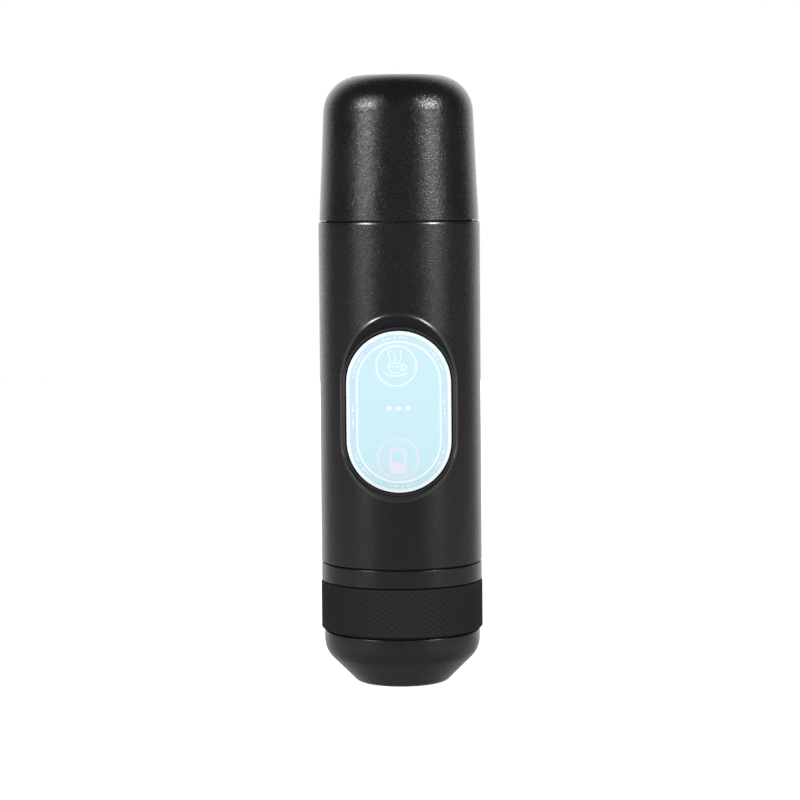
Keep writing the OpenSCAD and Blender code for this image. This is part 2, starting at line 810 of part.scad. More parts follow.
module capsule_chamber() {
    color(steel) difference() {
        rotate_extrude() difference() {
            polygon(chamber_wall_points(0));
            polygon([[0, z_foil - 1], [capsule_flange_r, z_foil - 1], [capsule_flange_r, z_cone0],
                [capsule_r, z_cone0], [capsule_tip_r, z_cone1], [0, z_cone1]]);
        }
        for (i = [0 : needle_count - 1])
            rotate(360 * i / needle_count) translate([needle_ring, 0, z_cone1 - 1])
                cylinder(r = 1.1, h = chamber_wall + 2);
    }
}

module needle_plate() {
    color(steel) difference() {
        union() {
            translate([0, 0, z_cham1]) cylinder(r = needle_plate_r, h = needle_plate_t);
            for (i = [0 : needle_count - 1])
                rotate(360 * i / needle_count) translate([needle_ring, 0, 0]) {
                    translate([0, 0, z_cone1 - needle_len + 2])
                        cylinder(r = 0.95, h = z_cham1 - z_cone1 + needle_len - 1.5);
                    translate([0, 0, z_cone1 - needle_len])
                        cylinder(r1 = 0.15, r2 = 0.95, h = 2);
                }
        }
        for (i = [0 : needle_count - 1])
            rotate(360 * i / needle_count) translate([needle_ring, 0, z_cone1 - needle_len + 2.4])
                cylinder(r = 0.5, h = needle_len + 6);
    }
}

module pierce_plate() {
    pitch = 4.6;
    color(steel) difference() {
        union() {
            translate([0, 0, z_plate]) cylinder(r = plate_r, h = plate_t2);
            for (i = [-2 : 2], j = [-2 : 2])
                if (norm([i, j]) < 2.5)
                    translate([i * pitch, j * pitch, z_plate + plate_t2 - 0.2]) rotate(45)
                        cylinder(r1 = 1.5, r2 = 0.3, h = 1.4, $fn = 4);
        }
        for (i = [-1.5 : 1.5], j = [-1.5 : 1.5])
            translate([i * pitch, j * pitch, z_plate - 1]) cylinder(r = 0.7, h = 4);
    }
}

module plate_gasket() {
    color(silicone)
        ring(chamber_lip_r - gasket_inset, capsule_r + gasket_lap,
            z_plate + plate_t2, z_plate + plate_t2 + gasket_t);
}

module outlet_funnel() {
    z_ledge = z_plate - stop_fit;
    z_neck0 = spout_lift + 13;
    spout_r = spout_d / 2;
    bore_r = spout_bore / 2;
    color(dark) rotate_extrude() difference() {
        polygon([[0, spout_lift], [spout_r, spout_lift], [spout_r, z_neck0],
            [capsule_r + 3, z_partition - 0.5], [capsule_r + 3, z_partition], [thread_r - 0.2, z_partition],
            [thread_r - 0.2, z_ledge + 0.9], [0, z_ledge + 0.9]]);
        polygon([[0, spout_lift - 1], [bore_r, spout_lift - 1], [bore_r, z_neck0 + 0.6],
            [capsule_r + 1.6, z_ledge - 0.6], [capsule_r + 1.6, z_ledge], [plate_r + 0.2, z_ledge],
            [plate_r + 0.2, z_ledge + 2], [0, z_ledge + 2]]);
    }
}

module head_shell() {
    z0 = z_grip + stop_fit;
    z1 = z_body - seam_gap;
    c = edge_chamfer * 0.6;
    hole = capsule_r + 3.2;
    color(black) rotate_extrude() polygon([[skirt_r, z0], [seat_r + 0.8, z0], [seat_r + 0.8, z_grip + seam_gap],
        [seat_r, z_grip + seam_gap], [seat_r, z_collar], [body_r - c, z_collar], [body_r, z_collar + c],
        [body_r, z1 - c], [body_r - c, z1], [thread_r, z1], [thread_r, z_partition], [hole, z_partition],
        [hole, z_partition - partition_t], [skirt_r, z_partition - partition_t]]);
}

// rubber sleeve whose outside is a raised diagonal net with a diamond pit in each mesh
module grip_sleeve() {
    n = 2 * knurl_count;
    z0 = z_grip + seam_gap;
    z1 = z_collar - seam_gap;
    span = z1 - z0 - 2 * knurl_margin;
    rows = 2 * round(span / knurl_pitch);
    bore = seat_r / cos(180 / n) + 0.03;
    levels = concat(
        [[bore, z0], [grip_r - 1, z0], [grip_r, z0 + 0.9]],
        [for (j = [0 : rows]) [grip_r, z0 + knurl_margin + span * j / rows]],
        [[grip_r, z1 - 0.5], [grip_r - 0.5, z1], [bore, z1]]);
    count = len(levels);
    first = 3;
    points = [for (j = [0 : count - 1], i = [0 : n - 1])
        let (row = j - first,
             pit = row > 0 && row < rows && (i + row) % 2 == 0,
             r = levels[j][0] - (pit ? knurl_depth : 0))
        [r * cos(360 * i / n), r * sin(360 * i / n), levels[j][1]]];
    faces = [for (j = [0 : count - 1], i = [0 : n - 1])
        let (k = (j + 1) % count,
             m = (i + 1) % n,
             a = j * n + i,
             b = j * n + m,
             c = k * n + m,
             d = k * n + i,
             flip = (i + j - first) % 2 == 0)
        each flip ? [[a, d, b], [b, d, c]] : [[a, c, b], [a, d, c]]];
    color(rubber) polyhedron(points, faces, convexity = 6);
}

// base cap outline, shrunk by an inset
module base_outline(inset) {
    upper = [base_r - base_fillet, base_upright];
    lower = [foot_x, foot_fillet];
    out = [cos(slope), -sin(slope)];
    ru = base_fillet - inset;
    rl = foot_fillet - inset;
    polygon([[0, inset], lower + [0, -rl], lower + rl * out, upper + ru * out, upper + [ru, 0],
        [base_r - inset, z_grip], [0, z_grip]]);
    translate(lower) circle(r = rl);
    intersection() {
        translate(upper) circle(r = ru);
        translate([0, inset]) square([base_r, z_grip - inset]);
    }
}

module base_cap() {
    color(black) rotate_extrude() difference() {
        base_outline(0);
        base_outline(base_wall);
        translate([0, base_upright]) square([base_r - base_wall, z_grip]);
        translate([0, z_plug]) square([base_r - base_wall / 2, z_grip]);
        translate([base_r, z_grip]) rotate(45) square(edge_chamfer, center = true);
    }
}

module cap_plug() {
    color(dark) rotate_extrude() difference() {
        union() {
            translate([plug_in, z_plug - 1.2]) square([base_r - base_wall - seat_fit - plug_in, 1.3]);
            translate([plug_in, z_plug]) square([base_r - base_wall / 2 - seat_fit - plug_in, z_grip - z_plug]);
            translate([plug_in, z_plug - 1.2]) square([plug_r - plug_in, z_grip - z_plug + 1.2 + plug_rise]);
        }
        translate([plug_r - plug_groove, z_grip + plug_groove_z]) square([2, plug_groove_h]);
    }
}

module cap_ring() {
    color(rubber) rotate_extrude()
        translate([plug_r - plug_groove + cap_ring_r + 0.02, z_grip + plug_groove_z + plug_groove_h / 2])
            circle(r = cap_ring_r);
}

drinking_cup();
cup_ring();
water_tank();
tank_strainer();
lid_seal();
tank_lid();
main_housing();
pad_bezel();
press_pad();
pad_overlay();
switch_plunger();
tact_switch();
control_board();
board_parts();
status_leds();
inner_frame();
frame_screws();
battery_cells();
cell_strips();
charge_board();
usb_socket();
port_cover();
inlet_hose();
pump_tube();
pump_coil();
pump_yoke();
pump_plunger();
plunger_spring();
plunger_buffer();
pump_head();
valve_ball();
valve_spring();
pump_foot();
pump_grommet();
outlet_hose();
wire_leads();
brew_block();
capsule_chamber();
needle_plate();
pierce_plate();
plate_gasket();
outlet_funnel();
head_shell();
grip_sleeve();
base_cap();
cap_plug();
cap_ring();
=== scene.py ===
from math import acos, atan2, ceil, cos, degrees, hypot, pi, radians, sin, sqrt, tan

import bpy
import numpy as np
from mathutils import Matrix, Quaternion, Vector


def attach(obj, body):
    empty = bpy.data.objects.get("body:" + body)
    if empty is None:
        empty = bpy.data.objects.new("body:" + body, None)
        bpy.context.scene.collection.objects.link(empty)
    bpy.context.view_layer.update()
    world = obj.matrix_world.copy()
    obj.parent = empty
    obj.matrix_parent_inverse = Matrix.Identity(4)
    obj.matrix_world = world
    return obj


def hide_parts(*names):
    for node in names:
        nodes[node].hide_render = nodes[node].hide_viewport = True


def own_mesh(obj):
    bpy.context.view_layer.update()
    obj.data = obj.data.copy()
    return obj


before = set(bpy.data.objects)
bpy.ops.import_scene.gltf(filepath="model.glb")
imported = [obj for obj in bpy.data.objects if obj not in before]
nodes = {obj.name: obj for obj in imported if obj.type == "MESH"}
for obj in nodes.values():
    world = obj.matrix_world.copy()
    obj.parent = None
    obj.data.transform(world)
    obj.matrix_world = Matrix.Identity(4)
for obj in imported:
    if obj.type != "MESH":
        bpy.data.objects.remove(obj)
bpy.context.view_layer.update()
MM = 0.001

# Mesh detail: places per millimetre for vertices, degrees in a step of small and large fillets,
# and sides of turned pieces and of the pad's half circles
GRID = 20000
ARC_STEP = 11.0
LARGE_ARC_STEP = 3.0
LARGE_FILLET = 3.0
TURNED_SIDES = 224
PAD_SIDES = 64

# Heights of the seams and the main radii of the machine
BODY_R = 30.0
IN_R = 28.0
Z_GRIP = 19.6
Z_COLLAR = 38.6
Z_BODY = 45.6
Z_CUP = 172.0
Z_TOP = 226.0
SEAM = 0.4
EDGE = 0.5
RABBET = 1.0
RABBET_H = 1.6

# Drinking cup
CUP_MOUTH = 29.65
CUP_WALL = 1.8
CUP_DRAFT = radians(2.6)
CUP_CORNER = 14.0
CUP_FLARE = 1900.0
CUP_FLARE_Z = 191.0
CUP_FLARE_IN = 0.1
CUP_GAP = 0.22

# Press pad and its recess, as distances in front of the axis and half widths
PAD_Z = 102.8
PAD_H = 59.0
PAD_HW = 19.02
PAD_END = PAD_H / 2 - PAD_HW
PAD_FACE = sqrt(BODY_R ** 2 - PAD_HW ** 2) - 1.05
FILM_BACK = PAD_FACE - 0.6
PAD_EDGE = PAD_HW + 0.15
FILM_HW = PAD_EDGE - 0.5
LIP_FRONT = PAD_FACE - 0.8
LIP_BACK = LIP_FRONT - 0.6
FLANGE_FRONT = LIP_BACK - 0.1
FLANGE_BACK = FLANGE_FRONT - 1.0
FLOOR_FRONT = FLANGE_BACK - 1.1
FLOOR_BACK = FLOOR_FRONT - 1.6
POCKET_HW = PAD_HW + 1.6
WINDOW_HW = PAD_HW - 7.0
SCOOP = tan(radians(27.7))
SCOOP_FRONT = sqrt(BODY_R ** 2 - POCKET_HW ** 2) + 0.3
BEAD = 0.19
BEAD_FLANK = 0.9
FLANK = 1.1
FACET_SLOPE = 0.34
FACET_WIDTH = 0.8
FACET_EASE = 0.22
RIM_REACH = 0.34
FACET_REACH = 0.2

# Charging port at the back
PORT_Z = 134.2
PORT_HL = 7.5
PORT_HH = 4.0
PORT_FACE = 27.6
SOCKET_HL = 4.72
SOCKET_HH = 1.88
PORT_FLAT = PORT_HL - PORT_HH
PORT_BACK = PORT_FACE - 2.0

# Outlet head and base
GRIP_R = 30.2
SEAT_R = 27.6
SKIRT_R = 25.6
THREAD_R = 25.9
SPIGOT_R = 25.6
HOLE_R = 18.3
Z_PARTITION = 35.6
PARTITION_T = 3.6
BASE_R = 29.15
BASE_WALL = 2.0
BASE_FILLET = 10.0
FOOT_FILLET = 4.0
SLOPE_REACH = 16.792
Z_PLUG = 18.4

# Filling mouth of the tank, leads of the two screw joints, and the pump's place behind the axis
MOUTH_R = 20.0
LID_LEAD = 10.0
HEAD_LEAD = 16.0
PUMP_Y = 6.0


def add_object(name, data):
    obj = bpy.data.objects.new(name, data)
    bpy.context.scene.collection.objects.link(obj)
    return obj


class Skin:
    """Faces gathered corner by corner, each corner with its exact surface normal."""

    def __init__(self):
        self.index = {}
        self.points = []
        self.faces = []
        self.normals = []
        self.finish = 0
        self.finishes = []

    def vertex(self, p):
        key = tuple(round(c * GRID) for c in p)
        if key not in self.index:
            self.index[key] = len(self.points)
            self.points.append(tuple(p))
        return self.index[key]

    def face(self, corners):
        ids = []
        spots = []
        normals = []
        for point, normal in corners:
            i = self.vertex(point)
            if i not in ids:
                ids.append(i)
                spots.append(np.asarray(self.points[i]))
                normals.append(normal)
        if len(ids) < 3:
            return
        turn = np.zeros(3)
        for k in range(1, len(spots) - 1):
            turn += np.cross(spots[k] - spots[0], spots[k + 1] - spots[0])
        if np.linalg.norm(turn) < 1e-12:
            return
        if np.dot(turn, np.sum(normals, axis=0)) < 0:
            ids.reverse()
            normals.reverse()
        self.faces.append(ids)
        self.finishes.append(self.finish)
        self.normals.extend(tuple(float(c) for c in n) for n in normals)

    def quad_rows(self, rows, closed=True):
        """Joins neighbouring rows of (point, normal) pairs."""
        for low, high in zip(rows, rows[1:]):
            count = len(low)
            for k in range(count if closed else count - 1):
                m = (k + 1) % count
                self.face([low[k], low[m], high[m], high[k]])

    def build(self, name):
        mesh = bpy.data.meshes.new(name)
        mesh.from_pydata([[c * MM for c in p] for p in self.points], [], self.faces)
        mesh.polygons.foreach_set("material_index", self.finishes)
        mesh.shade_smooth()
        mesh.normals_split_custom_set(self.normals)
        return add_object(name, mesh)


def unit(v):
    v = np.asarray(v, float)
    return v / np.linalg.norm(v)


def fade(value, start, end):
    """Share of the way from start to end, held between 0 and 1."""
    return max(0.0, min(1.0, (value - start) / (end - start)))


def outline(corners, closed=False):
    """Edges and fillets of a profile of (a, b, fillet) corners, as runs of (a, b, normal a, normal b).
    The outside lies to the right of the way the corners run."""
    spots = [np.array(c[:2], float) for c in corners]
    count = len(spots)
    ends = []
    for i, (_, _, fillet) in enumerate(corners):
        angle = 0.0
        if fillet > 0 and (closed or 0 < i < count - 1):
            d1 = unit(spots[i] - spots[i - 1])
            d2 = unit(spots[(i + 1) % count] - spots[i])
            angle = atan2(d1[0] * d2[1] - d1[1] * d2[0], float(np.dot(d1, d2)))
        if abs(angle) < 1e-6:
            ends.append((spots[i], spots[i], None))
            continue
        reach = fillet * tan(abs(angle) / 2)
        side = 1.0 if angle > 0 else -1.0
        start = spots[i] - d1 * reach
        centre = start + side * fillet * np.array([-d1[1], d1[0]])
        arc_step = LARGE_ARC_STEP if fillet > LARGE_FILLET else ARC_STEP
        steps = max(3, ceil(abs(degrees(angle)) / arc_step))
        first = start - centre
        arc = []
        for s in range(steps + 1):
            t = angle * s / steps
            out = np.array([first[0] * cos(t) - first[1] * sin(t),
                            first[0] * sin(t) + first[1] * cos(t)])
            spot = centre + out
            normal = side * out / fillet
            arc.append((spot[0], spot[1], normal[0], normal[1]))
        ends.append((start, np.array(arc[-1][:2]), arc))
    runs = []
    for i in range(count):
        if ends[i][2]:
            runs.append(ends[i][2])
        if i == count - 1 and not closed:
            break
        a = ends[i][1]
        b = ends[(i + 1) % count][0]
        if np.linalg.norm(b - a) > 1e-7:
            d = unit(b - a)
            runs.append([(a[0], a[1], d[1], -d[0]), (b[0], b[1], d[1], -d[0])])
    return runs


def turned(angle, r, z, nr, nz, centre=(0.0, 0.0)):
    s = sin(angle)
    c = -cos(angle)
    return (centre[0] + r * s, centre[1] + r * c, z), np.array([nr * s, nr * c, nz])


def revolve(skin, runs, angles):
    for run in runs:
        skin.quad_rows([[turned(t, *spot) for t in angles] for spot in run])


def even_angles(count):
    return [2 * pi * k / count for k in range(count)]


def lathe(name, *sections):
    """Turned piece: each section is (finish, corners) and starts where the one before it ends."""
    skin = Skin()
    for finish, corners in sections:
        skin.finish = finish
        revolve(skin, outline(corners), even_angles(TURNED_SIDES))
    return skin.build(name)


def stadium_path(end, steps, rows=6):
    """Spine points and directions round a stadium that stands upright, as (spine, dx, dz)."""
    path = []
    for side in (1.0, -1.0):
        for k in range(steps + 1):
            t = pi * k / steps
            path.append((side * end, side * cos(t), side * sin(t)))
        for k in range(1, rows):
            path.append((side * (end - 2 * end * k / rows), -side, 0.0))
    return path


def stadium_spot(step, hw, front, n_out, n_front):
    spine, dx, dz = step
    point = (hw * dx, -front, PAD_Z + spine + hw * dz)
    return point, np.array([n_out * dx, -n_front, n_out * dz])


def stadium_rows(skin, corners, closed=False, fill=0):
    """Carries a profile of (half width, distance in front, fillet) corners round the pad's stadium.
    A flat that reaches the spine is filled with that many rows."""
    path = stadium_path(PAD_END, PAD_SIDES)
    for run in outline(corners, closed):
        first, front, n_out, n_front = run[0]
        last = run[-1][0]
        if fill and min(first, last) < 1e-6 and abs(n_front) > 0.99:
            run = [(first + (last - first) * k / fill, front, n_out, n_front) for k in range(fill + 1)]
        skin.quad_rows([[stadium_spot(step, *spot) for step in path] for spot in run])


def stadium_sweep(name, corners, closed=False, fill=0):
    skin = Skin()
    stadium_rows(skin, corners, closed, fill)
    return skin.build(name)


# Materials, and the range that most noise values lie in
NOISE_RANGE = (0.3, 0.7)


def node_material(name):
    material = bpy.data.materials.new(name)
    material.use_nodes = True
    tree = material.node_tree
    return material, tree, tree.nodes["Principled BSDF"]


def link(tree, a, b):
    tree.links.new(a, b)


def noise(tree, coords, scale, detail=2.0, rough=0.5):
    node = tree.nodes.new("ShaderNodeTexNoise")
    for socket, value in (("Scale", scale), ("Detail", detail), ("Roughness", rough)):
        node.inputs[socket].default_value = value
    link(tree, coords, node.inputs["Vector"])
    return node.outputs["Fac"]


def spread(tree, value, *limits):
    """Maps the range between the first two limits to the range between the last two."""
    node = tree.nodes.new("ShaderNodeMapRange")
    for socket, limit in zip(("From Min", "From Max", "To Min", "To Max"), limits):
        node.inputs[socket].default_value = limit
    link(tree, value, node.inputs["Value"])
    return node.outputs["Result"]


def ramp(tree, value, dark, light, positions=NOISE_RANGE):
    node = tree.nodes.new("ShaderNodeValToRGB")
    for element, position, colour in zip(node.color_ramp.elements, positions, (dark, light)):
        element.position = position
        element.color = (*colour, 1)
    link(tree, value, node.inputs["Fac"])
    return node.outputs["Color"]


def bump(tree, height, depth):
    node = tree.nodes.new("ShaderNodeBump")
    node.inputs["Distance"].default_value = depth
    link(tree, height, node.inputs["Height"])
    return node.outputs["Normal"]


def place(tree, stretch=(1, 1, 1)):
    coords = tree.nodes.new("ShaderNodeTexCoord")
    mapping = tree.nodes.new("ShaderNodeMapping")
    mapping.inputs["Scale"].default_value = stretch
    link(tree, coords.outputs["Object"], mapping.inputs["Vector"])
    return mapping.outputs["Vector"]


def grey(level, blue=None):
    return (level, level, blue or level)


def moulded(name, dark, light, rough, grain=0.55, depth=0.012, spec=0.5, swing=0.05, top_depth=None,
            detail=2.0):
    """Moulded plastic or rubber: fine grain of the given size and depth in millimetres.
    With a top depth, the grain deepens from the middle of the machine upwards."""
    cloud_size = 14
    cloud_share = 0.45
    deepens_from = 80
    deepest_at = 150
    material, tree, shader = node_material(name)
    at = place(tree)
    fine = noise(tree, at, 1 / (grain * MM), detail, 0.6)
    cloud = noise(tree, at, 1 / (cloud_size * MM), 3.0)
    link(tree, ramp(tree, fine, dark, light), shader.inputs["Base Color"])
    mixed = tree.nodes.new("ShaderNodeMix")
    mixed.inputs["Factor"].default_value = cloud_share
    link(tree, fine, mixed.inputs["A"])
    link(tree, cloud, mixed.inputs["B"])
    link(tree, spread(tree, mixed.outputs["Result"], *NOISE_RANGE, rough - swing, rough + swing),
         shader.inputs["Roughness"])
    grained = bump(tree, fine, depth * MM)
    link(tree, grained, shader.inputs["Normal"])
    if top_depth:
        axes = tree.nodes.new("ShaderNodeSeparateXYZ")
        link(tree, at, axes.inputs["Vector"])
        deeper = spread(tree, axes.outputs["Z"], deepens_from * MM, deepest_at * MM,
                        depth * MM, top_depth * MM)
        link(tree, deeper, grained.node.inputs["Distance"])
    shader.inputs["Specular IOR Level"].default_value = spec
    return material


def metal(name, dark, light, rough, stretch=(1, 1, 1), scale=2500.0, depth=0.003):
    """Metal with drawn or turned marks: the noise is stretched along the way it was worked."""
    material, tree, shader = node_material(name)
    marks = noise(tree, place(tree, stretch), scale, 3.0, 0.6)
    cloud = noise(tree, place(tree), 160.0, 2.0)
    link(tree, ramp(tree, marks, dark, light, (0.25, 0.75)), shader.inputs["Base Color"])
    link(tree, spread(tree, cloud, *NOISE_RANGE, rough - 0.06, rough + 0.08), shader.inputs["Roughness"])
    link(tree, bump(tree, marks, depth * MM), shader.inputs["Normal"])
    shader.inputs["Metallic"].default_value = 1.0
    return material


def clear(name, tint, rough, pass_share):
    """Smoked clear plastic with faint flow marks."""
    material, tree, shader = node_material(name)
    flow = noise(tree, place(tree, (1, 1, 0.3)), 90.0, 3.0)
    link(tree, ramp(tree, flow, [0.82 * c for c in tint], tint), shader.inputs["Base Color"])
    link(tree, spread(tree, flow, *NOISE_RANGE, rough * 0.7, rough * 1.4), shader.inputs["Roughness"])
    link(tree, bump(tree, flow, 0.01 * MM), shader.inputs["Normal"])
    shader.inputs["Transmission Weight"].default_value = pass_share
    shader.inputs["IOR"].default_value = 1.49
    return material


BLACK = moulded("black_shell_grain", grey(0.0040, 0.0043), grey(0.0066, 0.0070), 0.25, 0.42, 0.045,
                top_depth=0.09, detail=0.0)
RIM = moulded("smooth_rim", grey(0.0045, 0.0048), grey(0.0060, 0.0064), 0.27, 0.62, 0.008, 0.5)
SOFT_RIM = moulded("soft_rim", grey(0.0045, 0.0048), grey(0.0060, 0.0064), 0.31, 0.62, 0.008, 0.85)
RECESS = moulded("matt_recess", grey(0.007, 0.0073), grey(0.010, 0.0104), 0.90, 0.7, 0.010, 0.25)
# Near-black matt finish for faces that sit in seams and gaps: painted shade, so those gaps read black
GAP_SHADE = moulded("painted_gap_shade", grey(0.002), grey(0.003), 0.95, 0.7, 0.004, 0.1)
INNER_BLACK = moulded("black_inner", grey(0.008, 0.0085), grey(0.012, 0.0125), 0.45, 0.8, 0.01, 0.45)
DARK = moulded("dark_plastic", grey(0.010, 0.011), grey(0.020, 0.021), 0.38, 0.7, 0.008, 0.5)
BEZEL = moulded("bezel_plastic", grey(0.021, 0.0215), grey(0.026, 0.0265), 0.34, 0.7, 0.006, 0.5)
RUBBER = moulded("grip_rubber", grey(0.0075), grey(0.013), 0.78, 0.5, 0.012, 0.22)
SEAL = moulded("seal_rubber", grey(0.010), grey(0.018), 0.5, 0.6, 0.006, 0.4)
SILICONE = moulded("pale_silicone", grey(0.60, 0.57), grey(0.72, 0.69), 0.45, 0.9, 0.006, 0.4)
WHITE = moulded("white_plastic", (0.62, 0.67, 0.68), (0.66, 0.70, 0.71), 0.32, 1.1, 0.004, 0.5)
FILM = moulded("blue_film", (0.383, 0.555, 0.604), (0.393, 0.565, 0.614), 0.30, 1.6, 0.0006, 0.4, 0.01)
BAND = moulded("band_ink", (0.370, 0.524, 0.595), (0.390, 0.544, 0.613), 0.32, 1.2, 0.002, 0.4)
INK = moulded("white_ink", (0.58, 0.64, 0.65), (0.62, 0.68, 0.69), 0.34, 0.8, 0.002, 0.4)
PINK = moulded("pink_ink", (0.535, 0.530, 0.602), (0.560, 0.555, 0.624), 0.34, 0.8, 0.002, 0.4)
STEEL = metal("worked_steel", (0.46, 0.47, 0.49), (0.66, 0.67, 0.69), 0.28, (1, 1, 8))
CHAMBER = metal("turned_aluminium", (0.58, 0.59, 0.60), (0.76, 0.77, 0.78), 0.30, (0.1, 0.1, 6))
BRASS = metal("turned_brass", (0.58, 0.43, 0.18), (0.76, 0.60, 0.30), 0.26, (0.1, 0.1, 6))
COPPER = metal("copper_winding", (0.42, 0.20, 0.10), (0.66, 0.36, 0.20), 0.34, (0.05, 0.05, 1),
               scale=3600.0, depth=0.08)
BOARD = moulded("board_mask", (0.012, 0.105, 0.050), (0.022, 0.150, 0.075), 0.30, 1.4, 0.006, 0.5)
WRAP = moulded("cell_wrap", (0.015, 0.050, 0.210), (0.022, 0.070, 0.270), 0.28, 2.2, 0.010, 0.5)
LEAD = moulded("lead_sheath", (0.34, 0.018, 0.018), (0.46, 0.030, 0.030), 0.40, 0.8, 0.006, 0.4)
SMOKE = clear("smoke_tank", (0.30, 0.32, 0.34), 0.12, 0.75)
LAMP = clear("lamp_lens", (0.90, 0.93, 0.94), 0.20, 0.6)


def dress(obj, body, finish, slot, *replaced):
    """Gives a piece its material, or its list of materials, and its body, and hides the nodes it replaces.
    The slot is not used.
    """
    for material in finish if isinstance(finish, list) else [finish]:
        obj.data.materials.append(material)
    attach(obj, body)
    if replaced:
        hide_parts(*replaced)
    return obj


# Drinking cup: drafted wall, rounded shoulder, flat top, open below
cup_reach = cos(CUP_DRAFT) * CUP_MOUTH + sin(CUP_DRAFT) * (Z_CUP + SEAM)


def cup_r(z, inset):
    return (cup_reach - inset - sin(CUP_DRAFT) * z) / cos(CUP_DRAFT)


cup_low = Z_CUP + SEAM + CUP_GAP
cup_body = lathe("cup_body", (0, [
    (0, Z_TOP - CUP_WALL, 0),
    (cup_r(Z_TOP - CUP_WALL, CUP_WALL), Z_TOP - CUP_WALL, CUP_CORNER - CUP_WALL),
    (cup_r(cup_low, CUP_WALL), cup_low, 0.3),
    (cup_r(cup_low, 0), cup_low, 0.25),
    (cup_r(CUP_FLARE_Z, CUP_FLARE_IN), CUP_FLARE_Z, CUP_FLARE),
    (cup_r(Z_TOP, 0), Z_TOP, CUP_CORNER),
    (0, Z_TOP, 0),
]))
dress(cup_body, "cup", BLACK, "black_shell", "drinking_cup")


# Main housing: a tube with the pad recess in front and the port recess behind
COLUMNS = even_angles(144)
RECESS_COLUMNS = 26
PORT_COLUMNS = 10
FLAT_ROWS = [64.0 + 2.0 * k for k in range(42)]
PORT_ROWS = (126.0, 142.0)

# Finishes of the housing, in the order of its materials
SHELL, MATT, SMOOTH, GAP_SHADE_FINISH, SOFT = range(5)


def wrap(angle):
    """The angle brought between minus and plus half a turn."""
    return (angle + pi) % (2 * pi) - pi


def around(points):
    """Angles and heights of points round the axis."""
    return [(atan2(p[0], -p[1]), p[2]) for p in points]


def on_body(a, z, r=BODY_R):
    return (r * sin(a), -r * cos(a), z)


def radial(a, z):
    return np.array([sin(a), -cos(a), 0.0])


def inward(step):
    return np.array([-step[1], 0, -step[2]])


def forward(step):
    return np.array([0, -1.0, 0])


def backward(step):
    return np.array([0, 1.0, 0])


def pocket_row(steps, hw, front, normal_of):
    return [((hw * s[1], -front, PAD_Z + s[0] + hw * s[2]), normal_of(s)) for s in steps]


def port_row(steps, hh, hl, back, normal_of):
    stretch = (hl - hh) / PORT_FLAT
    return [((s[0] * stretch + hh * s[1], back, PORT_Z + hh * s[2]), normal_of(s)) for s in steps]


def cone_half_width(r, dx):
    """Distance from the end centre to the rim of the thumb scoop on a cylinder of radius r."""
    hw = POCKET_HW
    for _ in range(40):
        hw = POCKET_HW + (sqrt(max(r * r - (hw * dx) ** 2, 0)) - SCOOP_FRONT) * SCOOP
    return max(hw, POCKET_HW)


def round_rim(p, n1, n2, reach, steps=8):
    """Arc that rounds the edge at p between two surfaces, with its ends a reach from the edge."""
    n1 = unit(n1)
    n2 = unit(n2)
    lean = float(np.dot(n1, n2))
    turn = acos(max(-1.0, min(1.0, lean)))
    r = reach / tan(turn / 2)
    centre = np.asarray(p) - r * (n1 + n2) / (1 + lean)
    arc = []
    for k in range(steps + 1):
        s = k / steps
        n = (sin((1 - s) * turn) * n1 + sin(s * turn) * n2) / sin(turn)
        arc.append((tuple(centre + r * n), n))
    return arc


def arc_rows(arcs):
    """Rows over the fillet, after the one where it starts."""
    return [[arc[k] for arc in arcs] for k in range(1, len(arcs[0]))]


class Tube:
    """Grid round the axis whose columns are angles and whose rows are heights, with windows left out."""

    def __init__(self, skin, rows, point, normal):
        self.skin = skin
        self.rows = rows
        self.point = point
        self.normal = normal
        self.left_out = set()

    def spot(self, a, z):
        return self.point(a, z), self.normal(a, z)

    def window(self, middle, half, low, high):
        """Leaves out the cells beside a middle column between two heights; gives the corners round them."""
        count = len(COLUMNS)
        left = middle - half
        width = 2 * half
        first = self.rows.index(low)
        last = self.rows.index(high)
        for c in range(width):
            for r in range(first, last):
                self.left_out.add(((left + c) % count, r))
        ring = [(c, first) for c in range(width)]
        ring += [(width, r) for r in range(first, last)]
        ring += [(c, last) for c in range(width, 0, -1)]
        ring += [(0, r) for r in range(last, first, -1)]
        return [(COLUMNS[(left + c) % count], self.rows[r]) for c, r in ring]

    def close_in(self, ring, loop, shares):
        """Fills from the corners of a window to a loop of (angle, height) inside it."""
        rows = []
        for s in shares:
            row = []
            for (a, z), (b, w) in zip(ring, loop):
                row.append(self.spot(b + wrap(a - b) * (1 - s), w + (z - w) * (1 - s)))
            rows.append(row)
        self.skin.quad_rows(rows)

    def fill(self):
        for c, a in enumerate(COLUMNS):
            b = COLUMNS[(c + 1) % len(COLUMNS)]
            for r, (low, high) in enumerate(zip(self.rows, self.rows[1:])):
                if (c, r) not in self.left_out:
                    corners = ((a, low), (b, low), (b, high), (a, high))
                    self.skin.face([self.spot(*corner) for corner in corners])


